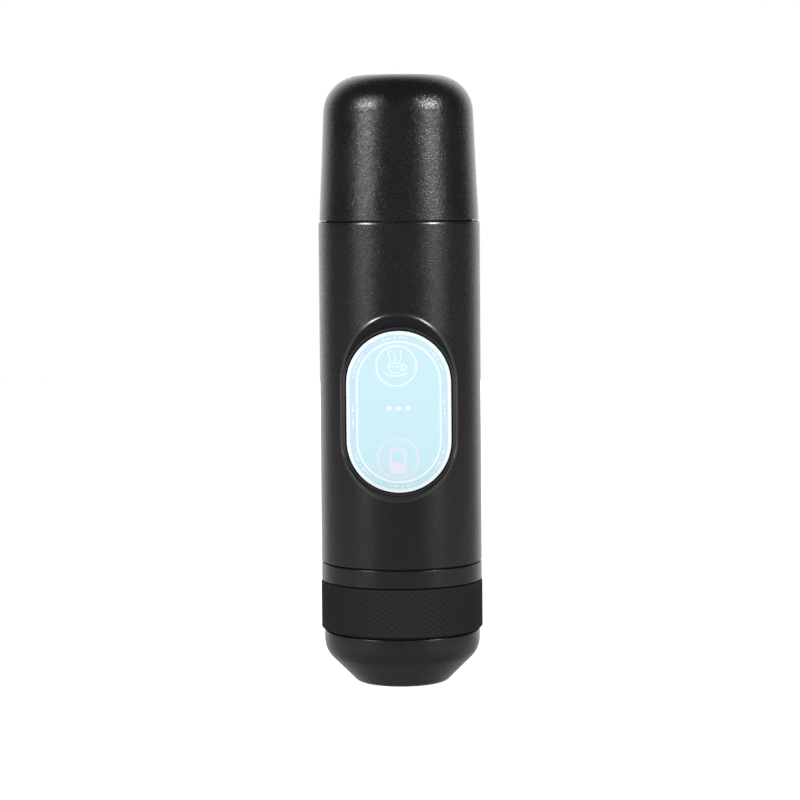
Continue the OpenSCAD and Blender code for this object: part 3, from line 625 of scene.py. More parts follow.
def recess_rim(ring):
    """Directions, fillet arcs and flanks round the recess, one for each corner of the window round it.
    A flank is (angle, height, way to the window's corner, bead, facet) where the fillet starts."""
    steps = []
    arcs = []
    flanks = []
    for a, z in ring:
        spine = max(-PAD_END, min(PAD_END, z - PAD_Z))
        dx, dz = unit([wrap(a) * BODY_R, z - PAD_Z - spine])
        upper = spine >= PAD_END - 1e-9 and dz > 0
        beside = min(fade(dz, 0.8, 0.5), fade(dz, -0.6, -0.2))
        bead = BEAD * (1 - beside) * (0.2 + 0.8 * fade(dz, -1.0, -0.3))
        facet = FACET_SLOPE * beside
        rim_at = BODY_R + bead - facet * (FACET_WIDTH - FACET_EASE / 2)
        hw = cone_half_width(rim_at, dx) if upper else POCKET_HW
        x = hw * dx
        p = np.array([x, -sqrt(rim_at ** 2 - x * x), PAD_Z + spine + hw * dz])
        wall_slope = SCOOP if upper and hw > POCKET_HW + 1e-6 else 0.0
        facing = unit([p[0], p[1], 0])
        across = dx / max(-facing[1], 0.2)
        along = unit([-across * facing[1], across * facing[0], dz])
        reach = RIM_REACH + (FACET_REACH - RIM_REACH) * beside
        arc = round_rim(p, facing - facet * along, [-dx, -wall_slope, -dz], reach)
        start, low = around([arc[0][0]])[0]
        steps.append((spine, dx, dz))
        arcs.append(arc)
        flanks.append((start, low, np.array([wrap(a - start) * BODY_R, z - low]), bead, facet))
    return steps, arcs, flanks


def flank_spot(flank, distance):
    """Spot on the bead, the facet or beyond them, at a distance from the start of the rim's fillet."""
    start, low, away, bead, facet = flank
    u, w = unit(away)
    a = start + u * distance / BODY_R
    t = fade(distance, 0, BEAD_FLANK)
    inside_facet = max(0.0, FACET_WIDTH - distance)
    eased = min(inside_facet, FACET_EASE)
    sunk = eased ** 2 / (2 * FACET_EASE) + inside_facet - eased
    r = BODY_R + bead * (1 - t * t * (3 - 2 * t)) - facet * sunk
    slope = bead * 6 * t * (1 - t) / BEAD_FLANK - facet * eased / FACET_EASE
    tilt = slope * np.array([u * cos(a), u * sin(a), w])
    return on_body(a, low + w * distance, r), unit(radial(a, 0) + tilt)


def recess(skin, ring):
    """Pad recess from the window's corners over the rim and down to the window in its floor."""
    steps, arcs, flanks = recess_rim(ring)
    shares = (1, 0.75, 0.5, 0.32)
    rows = 12
    far = [[flank_spot(f, share * float(np.linalg.norm(f[2]))) for f in flanks] for share in shares]
    near = [[flank_spot(f, FLANK * (1 - k / rows)) for f in flanks] for k in range(rows + 1)]
    skin.quad_rows(far + near[:1])
    skin.finish = SOFT
    skin.quad_rows(near)
    rim = near[-1:] + arc_rows(arcs)
    half = len(rim) // 2
    skin.quad_rows(rim[:half + 1])
    skin.finish = MATT
    skin.quad_rows(rim[half:])
    middle = []
    lip = []
    for (p, n), s in zip(rim[-1], steps):
        front = min(SCOOP_FRONT, -p[1] - 0.05)
        q = (POCKET_HW * s[1], -front, PAD_Z + s[0] + POCKET_HW * s[2])
        middle.append((tuple((np.asarray(p) + np.asarray(q)) / 2), n))
        lip.append((q, n))
    skin.quad_rows([rim[-1], middle, lip])
    straight = [(p, inward(s)) for (p, _), s in zip(lip, steps)]
    skin.quad_rows([straight, pocket_row(steps, POCKET_HW, FLOOR_FRONT, inward)])
    skin.quad_rows([pocket_row(steps, hw, FLOOR_FRONT, forward) for hw in (POCKET_HW, WINDOW_HW)])
    skin.quad_rows([pocket_row(steps, WINDOW_HW, front, inward) for front in (FLOOR_FRONT, FLOOR_BACK)])
    skin.finish = SHELL
    return steps


def port_recess(outer, ring):
    """Port recess from the window's corners over the rim and down to the socket's hole in its floor."""
    skin = outer.skin
    steps = []
    arcs = []
    for a, z in ring:
        u = -(a - pi) * BODY_R
        spine = max(-PORT_FLAT, min(PORT_FLAT, u))
        dx, dz = unit([u - spine, z - PORT_Z])
        x = spine + PORT_HH * dx
        p = np.array([x, sqrt(BODY_R ** 2 - x * x), PORT_Z + PORT_HH * dz])
        steps.append((spine, dx, dz))
        arcs.append(round_rim(p, [p[0], p[1], 0], [-dx, 0, -dz], 0.25))
    loop = around(arc[0][0] for arc in arcs)
    outer.close_in(ring, loop, [0, 0.35, 0.7, 0.9, 1])
    skin.quad_rows([[outer.spot(*spot) for spot in loop]] + arc_rows(arcs))
    skin.quad_rows([[(arc[-1][0], inward(s)) for arc, s in zip(arcs, steps)],
                    port_row(steps, PORT_HH, PORT_HL, PORT_FACE, inward)])
    skin.quad_rows([port_row(steps, PORT_HH, PORT_HL, PORT_FACE, backward),
                    port_row(steps, SOCKET_HH, SOCKET_HL, PORT_FACE, backward)])
    skin.quad_rows([port_row(steps, SOCKET_HH, SOCKET_HL, back, inward) for back in (PORT_FACE, PORT_BACK)])
    return steps


def flat_at(a, z):
    """Distance from the axis to the flat behind the recess, or the one round the port."""
    if z < FLAT_ROWS[0] or z > FLAT_ROWS[-1]:
        return IN_R
    c = cos(a)
    return FLOOR_BACK / c if c > 0 else PORT_BACK / max(-c, 1e-9)


def inside(a, z):
    return on_body(a, z, min(IN_R, flat_at(a, z)))


def inside_normal(a, z):
    if flat_at(a, z) < IN_R:
        return np.array([0, 1.0 if cos(a) > 0 else -1.0, 0])
    return -radial(a, z)


def housing():
    skin = Skin()
    rim_r = IN_R + RABBET
    inner_first = Z_BODY + RABBET_H
    inner_last = Z_CUP - RABBET_H
    lip_out = rim_r + 0.2
    lip_top = Z_CUP + SEAM - 0.1
    crown = outline([
        (BODY_R, Z_CUP - 3, 0), (BODY_R, Z_CUP - 0.65, 0.8), (BODY_R - 0.17, Z_CUP, 0.06),
        (lip_out, Z_CUP, 0),
    ])[1:]
    seat = outline([
        (lip_out, Z_CUP, 0), (lip_out, lip_top, 0.05), (rim_r, lip_top, 0.05), (rim_r, inner_last, 0),
        (IN_R, inner_last, 0),
    ])
    foot = outline([
        (IN_R, inner_first, 0), (rim_r, inner_first, 0), (rim_r, Z_BODY, 0), (BODY_R, Z_BODY, EDGE),
        (BODY_R, Z_BODY + EDGE * 2, 0),
    ])[:-1]
    rows = [Z_BODY + EDGE, 50.0, 57.0] + FLAT_ROWS + [152.0, 160.0, crown[0][0][1]]
    recess_window = (0, RECESS_COLUMNS, FLAT_ROWS[0], FLAT_ROWS[-1])
    port_window = (len(COLUMNS) // 2, PORT_COLUMNS, *PORT_ROWS)

    outer = Tube(skin, rows, on_body, radial)
    steps = recess(skin, outer.window(*recess_window))
    port_steps = port_recess(outer, outer.window(*port_window))
    outer.fill()

    # Inside of the tube, with ledges at both ends of its flats
    inner = Tube(skin, FLAT_ROWS, inside, inside_normal)
    floor_window = around(p for p, _ in pocket_row(steps, WINDOW_HW, FLOOR_BACK, inward))
    socket_hole = around(p for p, _ in port_row(port_steps, SOCKET_HH, SOCKET_HL, PORT_BACK, inward))
    inner.close_in(inner.window(*recess_window), floor_window, [0, 0.25, 0.5, 0.75, 1])
    inner.close_in(inner.window(*port_window), socket_hole, [0, 0.5, 1])
    inner.fill()
    for z, up in ((FLAT_ROWS[0], -1.0), (FLAT_ROWS[-1], 1.0)):
        normal = np.array([0, 0, up])
        flat_edge = [(inside(a, z), normal) for a in COLUMNS]
        round_edge = [(on_body(a, z, IN_R), normal) for a in COLUMNS]
        skin.quad_rows([flat_edge, round_edge])
    for low, high in ((inner_first, FLAT_ROWS[0]), (FLAT_ROWS[-1], inner_last)):
        revolve(skin, [[(IN_R, low, -1, 0), (IN_R, high, -1, 0)]], COLUMNS)

    # Rims with eased outer edges and the rabbets that seat the tank and the brew block. The seat that shows
    # in the cup's seam is painted black shade.
    for finish, runs in ((SMOOTH, crown), (GAP_SHADE_FINISH, seat), (SHELL, foot)):
        skin.finish = finish
        revolve(skin, runs, COLUMNS)
    return skin.build("housing_body")


dress(housing(), "machine", [BLACK, RECESS, RIM, GAP_SHADE, SOFT_RIM], "black_shell", "main_housing")


# Outlet head: smooth collar over the seat of the grip sleeve
collar_top = Z_BODY - SEAM
collar_face = BODY_R - 0.6
partition_low = Z_PARTITION - PARTITION_T
skirt_low = Z_GRIP + 0.05
skirt_edge = SEAT_R + 0.8
collar_body = lathe(
    "collar_body",
    (0, [(collar_face, Z_COLLAR, 0), (BODY_R, Z_COLLAR, 0.3), (BODY_R, collar_top, 0.3),
         (collar_face, collar_top, 0)]),
    # The collar's top face in the seam under the housing is painted black shade
    (1, [(collar_face, collar_top, 0), (THREAD_R, collar_top, 0)]),
    (2, [(THREAD_R, collar_top, 0), (THREAD_R, Z_PARTITION, 0), (HOLE_R, Z_PARTITION, 0.2),
         (HOLE_R, partition_low, 0.2), (SKIRT_R, partition_low, 0.3), (SKIRT_R, skirt_low, 0)]),
    # The skirt and seat under the grip sleeve are painted black shade where the seam shows them
    (1, [(SKIRT_R, skirt_low, 0), (skirt_edge, skirt_low, 0.1), (skirt_edge, Z_GRIP + SEAM, 0.1),
         (SEAT_R, Z_GRIP + SEAM, 0), (SEAT_R, Z_COLLAR, 0), (collar_face, Z_COLLAR, 0)]),
)
dress(collar_body, "head", [BLACK, GAP_SHADE, INNER_BLACK], "black_shell", "head_shell")


# Grip sleeve: raised diagonal net with a rounded pit in each mesh
def grip_net():
    pits = 60
    fine = 5
    low_margin = 1.05
    top_margin = 0.62
    pit_depth = 0.32
    pit_edge = 0.76
    pit_slope = 0.52
    diamond_share = 0.72
    circle_share = 0.35
    z0 = Z_GRIP + SEAM
    z1 = Z_COLLAR - SEAM
    half_rows = 16
    n = 2 * pits * fine
    start = z0 + low_margin
    step = (z1 - z0 - low_margin - top_margin) / half_rows
    bore = SEAT_R + 0.04
    profile = [(bore, z0 + 0.15), (bore + 0.15, z0), (GRIP_R - 1.15, z0), (GRIP_R - 0.95, z0 + 0.06),
               (GRIP_R - 0.12, z0 + 0.80), (GRIP_R, z0 + 0.98)]
    profile += [(GRIP_R, start + step * k / fine) for k in range(half_rows * fine + 1)]
    profile += [(GRIP_R, z1 - 0.5), (GRIP_R - 0.13, z1 - 0.2), (GRIP_R - 0.33, z1 - 0.05),
                (GRIP_R - 0.55, z1), (bore + 0.15, z1), (bore, z1 - 0.15)]
    rings = []
    turn = np.arange(n) * 2 * pi / n
    across = np.arange(n) / fine
    for r, z in profile:
        radius = np.full(n, r)
        b = (z - start) / step
        if 0 < b < half_rows and r == GRIP_R:
            best = np.full(n, 9.0)
            for row in (int(b), int(b) + 1):
                if row <= 0 or row >= half_rows:
                    continue
                base = np.round((across - row) / 2) * 2 + row
                da = np.abs(across - base)
                db = abs(b - row)
                best = np.minimum(best, diamond_share * (da + db) + circle_share * np.hypot(da, db))
            share = np.clip((pit_edge - best) / pit_slope, 0, 1)
            radius = radius - pit_depth * share * share * (3 - 2 * share)
        rings.append(np.stack([radius * np.sin(turn), -radius * np.cos(turn), np.full(n, z)], axis=1))
    points = np.concatenate(rings)
    faces = []
    count = len(profile)
    for j in range(count):
        k = (j + 1) % count
        for i in range(n):
            m = (i + 1) % n
            faces.append((j * n + i, j * n + m, k * n + m, k * n + i))
    mesh = bpy.data.meshes.new("grip_net")
    mesh.from_pydata((points * MM).tolist(), [], faces)
    mesh.shade_smooth()
    mesh.set_sharp_from_angle(angle=radians(60))
    return add_object("grip_net", mesh)


dress(grip_net(), "head", RUBBER, "black_rubber", "grip_sleeve")


# Base cap: round bowl with a flat foot
slope_in = SLOPE_REACH - BASE_WALL * sqrt(2)
base_in = BASE_R - BASE_WALL
base_step = BASE_R - BASE_WALL / 2
base_edge = BASE_R - 0.5
base_body = lathe(
    "base_body",
    (0, [(0, 0, 0), (SLOPE_REACH, 0, FOOT_FILLET), (BASE_R, BASE_R - SLOPE_REACH, BASE_FILLET),
         (BASE_R, Z_GRIP, 0.4), (base_edge, Z_GRIP, 0)]),
    # The top face in the seam under the grip sleeve is painted black shade
    (1, [(base_edge, Z_GRIP, 0), (base_step, Z_GRIP, 0.15), (base_step, Z_PLUG, 0), (base_in, Z_PLUG, 0)]),
    (2, [(base_in, Z_PLUG, 0), (base_in, base_in - slope_in, BASE_FILLET - BASE_WALL),
         (slope_in + BASE_WALL, BASE_WALL, FOOT_FILLET - BASE_WALL), (0, BASE_WALL, 0)]),
)
dress(base_body, "base", [BLACK, GAP_SHADE, INNER_BLACK], "black_shell", "base_cap")


# Pad: bezel ring, white carrier and printed film
lip_low = LIP_FRONT - 0.12
lip_in = PAD_HW + 0.72
bezel_out = POCKET_HW - 0.1
bezel_in = PAD_HW + 1.2
bezel = stadium_sweep("bezel_ring", [
    (bezel_out, FLOOR_FRONT, 0), (bezel_out, lip_low, 0.1), (lip_in + 0.56, lip_low, 0.05),
    (lip_in + 0.28, LIP_FRONT, 0.05), (lip_in, LIP_FRONT, 0.1), (lip_in, LIP_BACK, 0.1),
    (bezel_in, LIP_BACK, 0), (bezel_in, FLOOR_FRONT, 0),
], True)
dress(bezel, "machine", BEZEL, "dark_plastic", "pad_bezel")
carrier_skin = Skin()
rim_front = PAD_FACE - 0.05
rim_low = LIP_FRONT - 0.1
flange_hw = PAD_HW + 0.9
stadium_rows(carrier_skin, [
    (PAD_EDGE, rim_low, 0), (PAD_EDGE, rim_front, 0.12), (FILM_HW, rim_front, 0), (FILM_HW, FILM_BACK, 0),
    (0, FILM_BACK, 0),
], fill=6)
# The white carrier's flange and sides behind the lip are painted black shade, so the gap round the pad
# reads dark
carrier_skin.finish = 1
stadium_rows(carrier_skin, [
    (0, FLANGE_BACK, 0), (flange_hw, FLANGE_BACK, 0.1), (flange_hw, FLANGE_FRONT, 0.1),
    (PAD_EDGE, FLANGE_FRONT, 0), (PAD_EDGE, rim_low, 0),
], fill=6)
carrier = carrier_skin.build("pad_carrier")
dress(carrier, "pad", [WHITE, GAP_SHADE], "white_plastic", "press_pad")
film = stadium_sweep("pad_film", [
    (0, FILM_BACK, 0), (FILM_HW, FILM_BACK, 0), (FILM_HW, PAD_FACE, 0.05), (0, PAD_FACE, 0),
], fill=8)
dress(film, "pad", FILM, "blue_overlay", "pad_overlay")

# Print on the film: its height, where its back lies, and the rise from each stroke to the next
PRINT = 0.03
PRINT_LOW = PAD_FACE - 0.02
PRINT_STEP = 0.002


def print_ring(name, outer, inner, material, rise=PRINT):
    top = PAD_FACE + rise
    ring = stadium_sweep(name, [
        (outer, PRINT_LOW, 0), (outer, top, 0.02), (inner, top, 0.02), (inner, PRINT_LOW, 0),
    ], True)
    return dress(ring, "pad", material, "white_plastic")


def end_cap(tip, neighbour, width):
    """Points of the half circle that rounds the end of a stroke."""
    d = unit(tip - neighbour)
    side = np.array([-d[1], d[0]])
    return [tip + width / 2 * (cos(t) * side + sin(t) * d) for t in even_angles(12)[1:6]]


def stroke_outline(points, width, closed):
    """Plates that cover a stroke, and the loops of points round it."""
    count = len(points)
    left = []
    right = []
    for i, p in enumerate(points):
        before = points[i - 1] if closed or i > 0 else p
        after = points[(i + 1) % count] if closed or i < count - 1 else p
        d = unit(after - before)
        side = np.array([-d[1], d[0]]) * width / 2
        left.append(p + side)
        right.append(p - side)
    plates = []
    for i in range(count if closed else count - 1):
        k = (i + 1) % count
        plates.append([left[i], left[k], right[k], right[i]])
    if closed:
        return plates, [left, right]
    start = end_cap(points[0], points[1], width)
    end = end_cap(points[-1], points[-2], width)
    plates.append([left[-1]] + end + [right[-1]])
    plates.append([right[0]] + start + [left[0]])
    return plates, [left + end + right[::-1] + start]


def print_strokes(name, strokes, material):
    """Thin raised strokes with round ends: each is (points, width, closed) in pad coordinates."""
    skin = Skin()
    front = np.array([0, -1.0, 0])

    def spot(q, at, n):
        return (q[0], -at, PAD_Z + q[1]), n

    for number, (points, width, closed) in enumerate(strokes):
        top = PAD_FACE + PRINT + PRINT_STEP * number
        plates, loops = stroke_outline([np.array(p, float) for p in points], width, closed)
        for plate in plates:
            for at, n in ((top, front), (PRINT_LOW, -front)):
                skin.face([spot(q, at, n) for q in plate])
        for side, loop in zip((-1.0, 1.0), loops):
            for p, q in zip(loop, loop[1:] + loop[:1]):
                if np.linalg.norm(q - p) < 1e-9:
                    continue
                d = unit(q - p)
                n = np.array([side * d[1], 0, -side * d[0]])
                skin.face([spot(p, PRINT_LOW, n), spot(q, PRINT_LOW, n), spot(q, top, n), spot(p, top, n)])
    return dress(skin.build(name), "pad", material, "white_plastic")


def arc_points(cx, cz, rx, rz, a0, a1, count):
    angles = [radians(a0 + (a1 - a0) * k / count) for k in range(count + 1)]
    return [(cx + rx * cos(t), cz + rz * sin(t)) for t in angles]


def ring_points(cx, cz, r):
    return arc_points(cx, cz, r, r, 0, 355, 71)


BAND_OUT = 17.93
BAND_IN = 15.65
print_ring("pad_edge_line", FILM_HW - 0.03, BAND_OUT, INK)
print_ring("pad_band", BAND_OUT - 0.02, BAND_IN + 0.02, BAND, 0.012)
print_ring("pad_inner_line", BAND_IN, BAND_IN - 0.7, INK)

# Cup with steam in a circle
CUP_X, CUP_Z = -0.8, 16.9
cup_strokes = [
    (ring_points(CUP_X, CUP_Z, 7.35), 0.55, True),
    (arc_points(CUP_X - 0.3, CUP_Z + 0.4, 2.7, 0.7, 0, 355, 40), 0.36, False),
    (arc_points(CUP_X - 0.3, CUP_Z + 0.4, 2.7, 3.1, 180, 360, 28), 0.42, False),
    (arc_points(CUP_X + 2.5, CUP_Z - 0.55, 1.25, 1.0, -110, 100, 22), 0.40, False),
    (arc_points(CUP_X - 0.3, CUP_Z - 1.7, 4.3, 2.0, 198, 342, 26), 0.42, False),
]
for shift, lean in ((-2.6, 0.1), (-0.6, 0.3), (1.3, 0.7)):
    wave = []
    for s in range(19):
        t = s / 18
        wave.append((CUP_X + shift + 0.3 * sin(2 * pi * t) + lean * t, CUP_Z + 1.8 + 3.9 * t))
    cup_strokes.append((wave, 0.38, False))
print_strokes("icon_cup", cup_strokes, INK)

# Three dots in the middle of the pad
DOT_GAP = 3.4
DOT_Z = 1.4
DOT_HALF = 0.25
dots = []
for x in (-DOT_GAP, 0.0, DOT_GAP):
    dots.append(([(x - DOT_HALF, DOT_Z), (x + DOT_HALF, DOT_Z)], 1.5, False))
print_strokes("pad_dots", dots, INK)

# Battery in a circle
CELL_X, CELL_Z = -0.4, -17.05


def rounded_box(cx, cz, hw, hh, r):
    pts = []
    for sx, sz, a0 in ((1, 1, 0), (-1, 1, 90), (-1, -1, 180), (1, -1, 270)):
        pts += arc_points(cx + sx * (hw - r), cz + sz * (hh - r), r, r, a0, a0 + 90, 6)
    return pts


cell_strokes = [
    (ring_points(CELL_X, CELL_Z, 7.42), 0.75, True),
    (rounded_box(CELL_X, CELL_Z - 1.05, 2.7, 4.25, 0.6), 0.85, True),
    ([(CELL_X - 0.4, CELL_Z + 4.05), (CELL_X + 0.5, CELL_Z + 4.05)], 0.9, False),
    ([(CELL_X - 1.0, CELL_Z - 3.3), (CELL_X + 1.0, CELL_Z - 3.3)], 3.6, False),
]
print_strokes("icon_battery", cell_strokes, PINK)

# Small groups of dashes and dots in the band
marks = []
band_path = stadium_path(PAD_END, 60)
band_mid = (BAND_OUT + BAND_IN) / 2
lengths = [0.0]
spots = [np.array([band_mid * dx, spine + band_mid * dz]) for spine, dx, dz in band_path]
spots.append(spots[0])
for p, q in zip(spots, spots[1:]):
    lengths.append(lengths[-1] + float(np.linalg.norm(q - p)))


def band_spot(s):
    s = s % lengths[-1]
    k = max(i for i in range(len(lengths) - 1) if lengths[i] <= s)
    t = (s - lengths[k]) / max(lengths[k + 1] - lengths[k], 1e-9)
    return spots[k] * (1 - t) + spots[k + 1] * t


GROUPS = 8
for group in range(GROUPS):
    middle = lengths[-1] * (group + 0.5) / GROUPS
    for shift, size in ((-4.2, 0.0), (-2.3, 1.5), (0.0, 0.0), (2.3, 1.5), (4.2, 0.0)):
        a = band_spot(middle + shift - size / 2 - 0.03)
        b = band_spot(middle + shift + size / 2 + 0.03)
        marks.append(([a, b], 0.42 if size else 0.6, False))
print_strokes("pad_marks", marks, INK)


# Soft charging plug: stadium flush with the round of the body, with a fingernail dip
DIP_X = 4.6
DIP_R = 2.4
DIP_DEPTH = 0.55
DIP_SQUASH = 0.8


def plug_face(step, h):
    """Spot on the plug's face, at a distance from the spine."""
    face_r = BODY_R - 0.1
    x = step[0] + h * step[1]
    z = h * step[2]
    hollow = max(0.0, 1 - (hypot(x - DIP_X, z * DIP_SQUASH) / DIP_R) ** 2)
    slope = -4 * DIP_DEPTH * hollow / DIP_R ** 2
    y = sqrt(face_r ** 2 - x * x) - DIP_DEPTH * hollow ** 2
    level = sqrt(1 - (x / face_r) ** 2)
    n = unit([x / face_r + slope * (x - DIP_X), level, slope * z * DIP_SQUASH ** 2])
    return (x, y, PORT_Z + z), n


def port_plug():
    skin = Skin()
    hh = PORT_HH - 0.2
    edge = 0.35
    edge_rows = 6
    face_rows = 8
    flange = PORT_FACE + 0.05
    tongue_end = PORT_FACE - 1.0
    tongue_hh = 1.03
    tongue_hl = tongue_hh + 2.64
    steps = [(spine, dz, -dx) for spine, dx, dz in stadium_path(PORT_FLAT, 24, 8)]

    def outward(s):
        return np.array([s[1], 0, s[2]])

    rounded = []
    for k in range(edge_rows + 1):
        t = pi / 2 * k / edge_rows
        row = []
        for s in steps:
            p, n = plug_face(s, hh - edge)
            q = np.asarray(p) + edge * (cos(t) * outward(s) + (sin(t) - 1) * backward(s))
            row.append((tuple(q), unit(cos(t) * outward(s) + sin(t) * n)))
        rounded.append(row)
    wall_top = [(p, outward(s)) for (p, _), s in zip(rounded[0], steps)]
    skin.quad_rows([port_row(steps, hh, PORT_FLAT + hh, flange, outward), wall_top])
    skin.quad_rows(rounded)
    shares = [1 - k / face_rows for k in range(face_rows + 1)]
    skin.quad_rows([[plug_face(s, (hh - edge) * share) for s in steps] for share in shares])
    skin.quad_rows([port_row(steps, hh, PORT_FLAT + hh, flange, forward),
                    port_row(steps, tongue_hh, tongue_hl, flange, forward)])
    skin.quad_rows([port_row(steps, tongue_hh, tongue_hl, at, outward) for at in (flange, tongue_end)])
    skin.quad_rows([port_row(steps, tongue_hh, tongue_hl, tongue_end, forward),
                    port_row(steps, 0.0, tongue_hl - tongue_hh, tongue_end, forward)])
    return skin.build("port_plug_cover")


dress(port_plug(), "port_plug", SEAL, "black_rubber", "port_cover")


def close_ends(skin, rows, axis_y=0.0):
    """Flat faces on both ends of what winds round an upright axis."""
    for row, side in ((rows[0], -1.0), (rows[-1], 1.0)):
        x, y, _ = row[0][0]
        along = unit([-side * (y - axis_y), side * x, 0])
        skin.face([(p, along) for p, _ in row])


# Screw ramps: low right-hand ridges that fade out at both ends
def screw_ramps(name, r, z0, z1, lead, starts, finish, slot):
    width = 1.4
    rise = 0.2
    root = -0.05
    top = 0.3
    steps = 40
    climb = z1 - z0 - width
    skin = Skin()
    for start in range(starts):
        fronts = []
        backs = []
        for k in range(steps + 1):
            s = k / steps
            a = 2 * pi * (start / starts + s * climb / lead)
            z = z0 + width / 2 + s * climb
            h = rise * min(1.0, 8 * s, 8 * (1 - s))
            section = ((root, -width / 2, 0.5, -0.86), (h, -top, 0.8, -0.6), (h, top, 0.8, 0.6),
                       (root, width / 2, 0.5, 0.86))
            fronts.append([turned(a, r + dr, z + dz, nr, nz) for dr, dz, nr, nz in section])
            backs.append([turned(a, r + dr, z + dz, -1, 0) for dr, dz, _, _ in (section[0], section[-1])])
        skin.quad_rows(fronts, False)
        skin.quad_rows(backs, False)
        close_ends(skin, fronts)
    return dress(skin.build(name), "machine", finish, slot)


screw_ramps("spigot_ramps", SPIGOT_R, 39.2, 45.1, HEAD_LEAD, 4, RECESS, "dark_plastic")
screw_ramps("mouth_ramps", MOUTH_R, 185.0, 191.6, LID_LEAD, 3, SMOKE, "tank_plastic")


# Pump springs: coils with flat end turns
def coil_spring(node, r, wire, low, high, turns):
    spokes = 24
    sides = 10
    flat_turn = 0.75
    rise = high - low - 2 * wire
    skin = Skin()
    rows = []
    for k in range(turns * spokes + 1):
        a = 2 * pi * k / spokes + pi / 2
        z = low + wire + rise * fade(k / spokes, flat_turn, turns - flat_turn)
        row = []
        for t in even_angles(sides):
            out = cos(t)
            up = sin(t)
            row.append(turned(a, r + wire * out, z + wire * up, out, up, (0.0, PUMP_Y)))
        rows.append(row)
    skin.quad_rows(rows)
    close_ends(skin, rows, PUMP_Y)
    spring = dress(skin.build(node + "_coil"), "machine", STEEL, "steel", node)
    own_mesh(spring)


coil_spring("plunger_spring", r=3.4, wire=0.4, low=114.05, high=126.0, turns=6)
coil_spring("valve_spring", r=1.8, wire=0.25, low=83.0, high=86.8, turns=3)


# CAD nodes that stay: the finish of each, and softened edges on the larger ones
KEPT = (
    (STEEL, "tank_strainer", "tact_switch", "frame_screws", "cell_strips", "usb_socket", "pump_yoke",
     "pump_plunger", "valve_ball", "needle_plate", "pierce_plate"),
    (SEAL, "cup_ring", "plunger_buffer", "pump_foot", "pump_grommet", "cap_ring"),
    (SILICONE, "lid_seal", "inlet_hose", "outlet_hose", "plate_gasket"),
    (DARK, "tank_lid", "switch_plunger", "board_parts", "outlet_funnel", "cap_plug"),
    (BOARD, "control_board", "charge_board"),
    (SMOKE, "water_tank"), (LAMP, "status_leds"), (INNER_BLACK, "inner_frame"), (WRAP, "battery_cells"),
    (WHITE, "pump_tube"), (COPPER, "pump_coil"), (BRASS, "pump_head"), (LEAD, "wire_leads"),
    # The brew block takes the darker matt recess finish so its flange in the seam above the collar reads
    # dark: its own dark plastic, darkened further as painted shade
    (RECESS, "brew_block"), (CHAMBER, "capsule_chamber"),
)
SOFT_EDGES = {
    "water_tank": 0.3, "tank_lid": 0.4, "cap_plug": 0.25, "outlet_funnel": 0.25, "brew_block": 0.25,
    "battery_cells": 0.4, "pump_yoke": 0.2, "pump_head": 0.25, "inner_frame": 0.2,
}
for material, *kept_nodes in KEPT:
    for node in kept_nodes:
        finishes = nodes[node].data.materials
        finishes.clear()
        finishes.append(material)
for node, size in SOFT_EDGES.items():
    weld = nodes[node].modifiers.new("weld", "WELD")
    weld.merge_threshold = 0.005 * MM
    soft = nodes[node].modifiers.new("soft_edges", "BEVEL")
    soft.width = size * MM
    soft.segments = 3
    soft.limit_method = "ANGLE"
    soft.angle_limit = radians(40)
    soft.harden_normals = True

# Camera at the photograph's height, distance and slight roll
VIEW_TURN = 1.77
VIEW_X = sin(radians(VIEW_TURN))
VIEW_Y = -cos(radians(VIEW_TURN))
AIM = Vector((-0.0002, 0.0, 0.1055))
EYE_RISE = 0.078
EYE = AIM + Vector((VIEW_X, VIEW_Y, EYE_RISE))
ROLL = radians(-0.48)
camera_data = bpy.data.cameras.new("photo_camera")
camera_data.sensor_width = 36.0
camera_data.lens = 120.8
camera = add_object("photo_camera", camera_data)
camera.location = EYE
camera.rotation_mode = "QUATERNION"
camera.rotation_quaternion = (AIM - EYE).to_track_quat("-Z", "Y") @ Quaternion((0, 0, 1), ROLL)
bpy.context.scene.camera = camera

# Pale floor, which stays under the foot
FLOOR_R = 1.6
FLOOR_SIDES = 96
floor_mesh = bpy.data.meshes.new("floor")
floor_ring = [(FLOOR_R * cos(t), FLOOR_R * sin(t), 0.0) for t in even_angles(FLOOR_SIDES)]
floor_mesh.from_pydata(floor_ring, [], [list(range(FLOOR_SIDES))])
floor = add_object("floor", floor_mesh)
floor_material, floor_tree, floor_shader = node_material("floor_paper")
paper = noise(floor_tree, place(floor_tree), 40.0, 2.0)
paper_tone = ramp(floor_tree, paper, grey(0.90), grey(0.93))
link(floor_tree, paper_tone, floor_shader.inputs["Base Color"])
for socket, value in (("Roughness", 0.9), ("Specular IOR Level", 0.1),
                      ("Emission Color", (1, 1, 1, 1)), ("Emission Strength", 0.85)):
    floor_shader.inputs[socket].default_value = value
floor_mesh.materials.append(floor_material)
floor.visible_glossy = False
floor.visible_diffuse = False
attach(floor, "base")


# Soft studio light: two tall boxes beside the camera with hot middles, fills in front and behind,
# and a room that is bright behind the machine
def soft_box(name, azimuth, distance, height, size, power):
    data = bpy.data.lights.new(name, "AREA")
    data.shape = "RECTANGLE"
    data.size, data.size_y = size
    data.energy = power
    box = add_object(name, data)
    a = radians(azimuth + VIEW_TURN)
    box.location = (distance * sin(a), -distance * cos(a), height)
    aim = Vector((-box.location.x, -box.location.y, 0))
    box.rotation_mode = "QUATERNION"
    box.rotation_quaternion = aim.to_track_quat("-Z", "Y")
    return box


for word, azimuth in (("left", -51), ("right", 51)):
    tall = soft_box("tall_box_" + word, azimuth, 1.25, 0.62, (0.36, 1.1), 4.4)
    hot = soft_box("hot_box_" + word, azimuth, 1.2, 0.70, (0.24, 0.24), 11.5)
    tall.visible_diffuse = False
    hot.visible_diffuse = False
for word, azimuth, power in (("front", 0, 37.0), ("back", 180, 10.0)):
    fill = soft_box(word + "_fill", azimuth, 1.6, 0.45, (0.9, 0.9), power)
    fill.visible_glossy = False

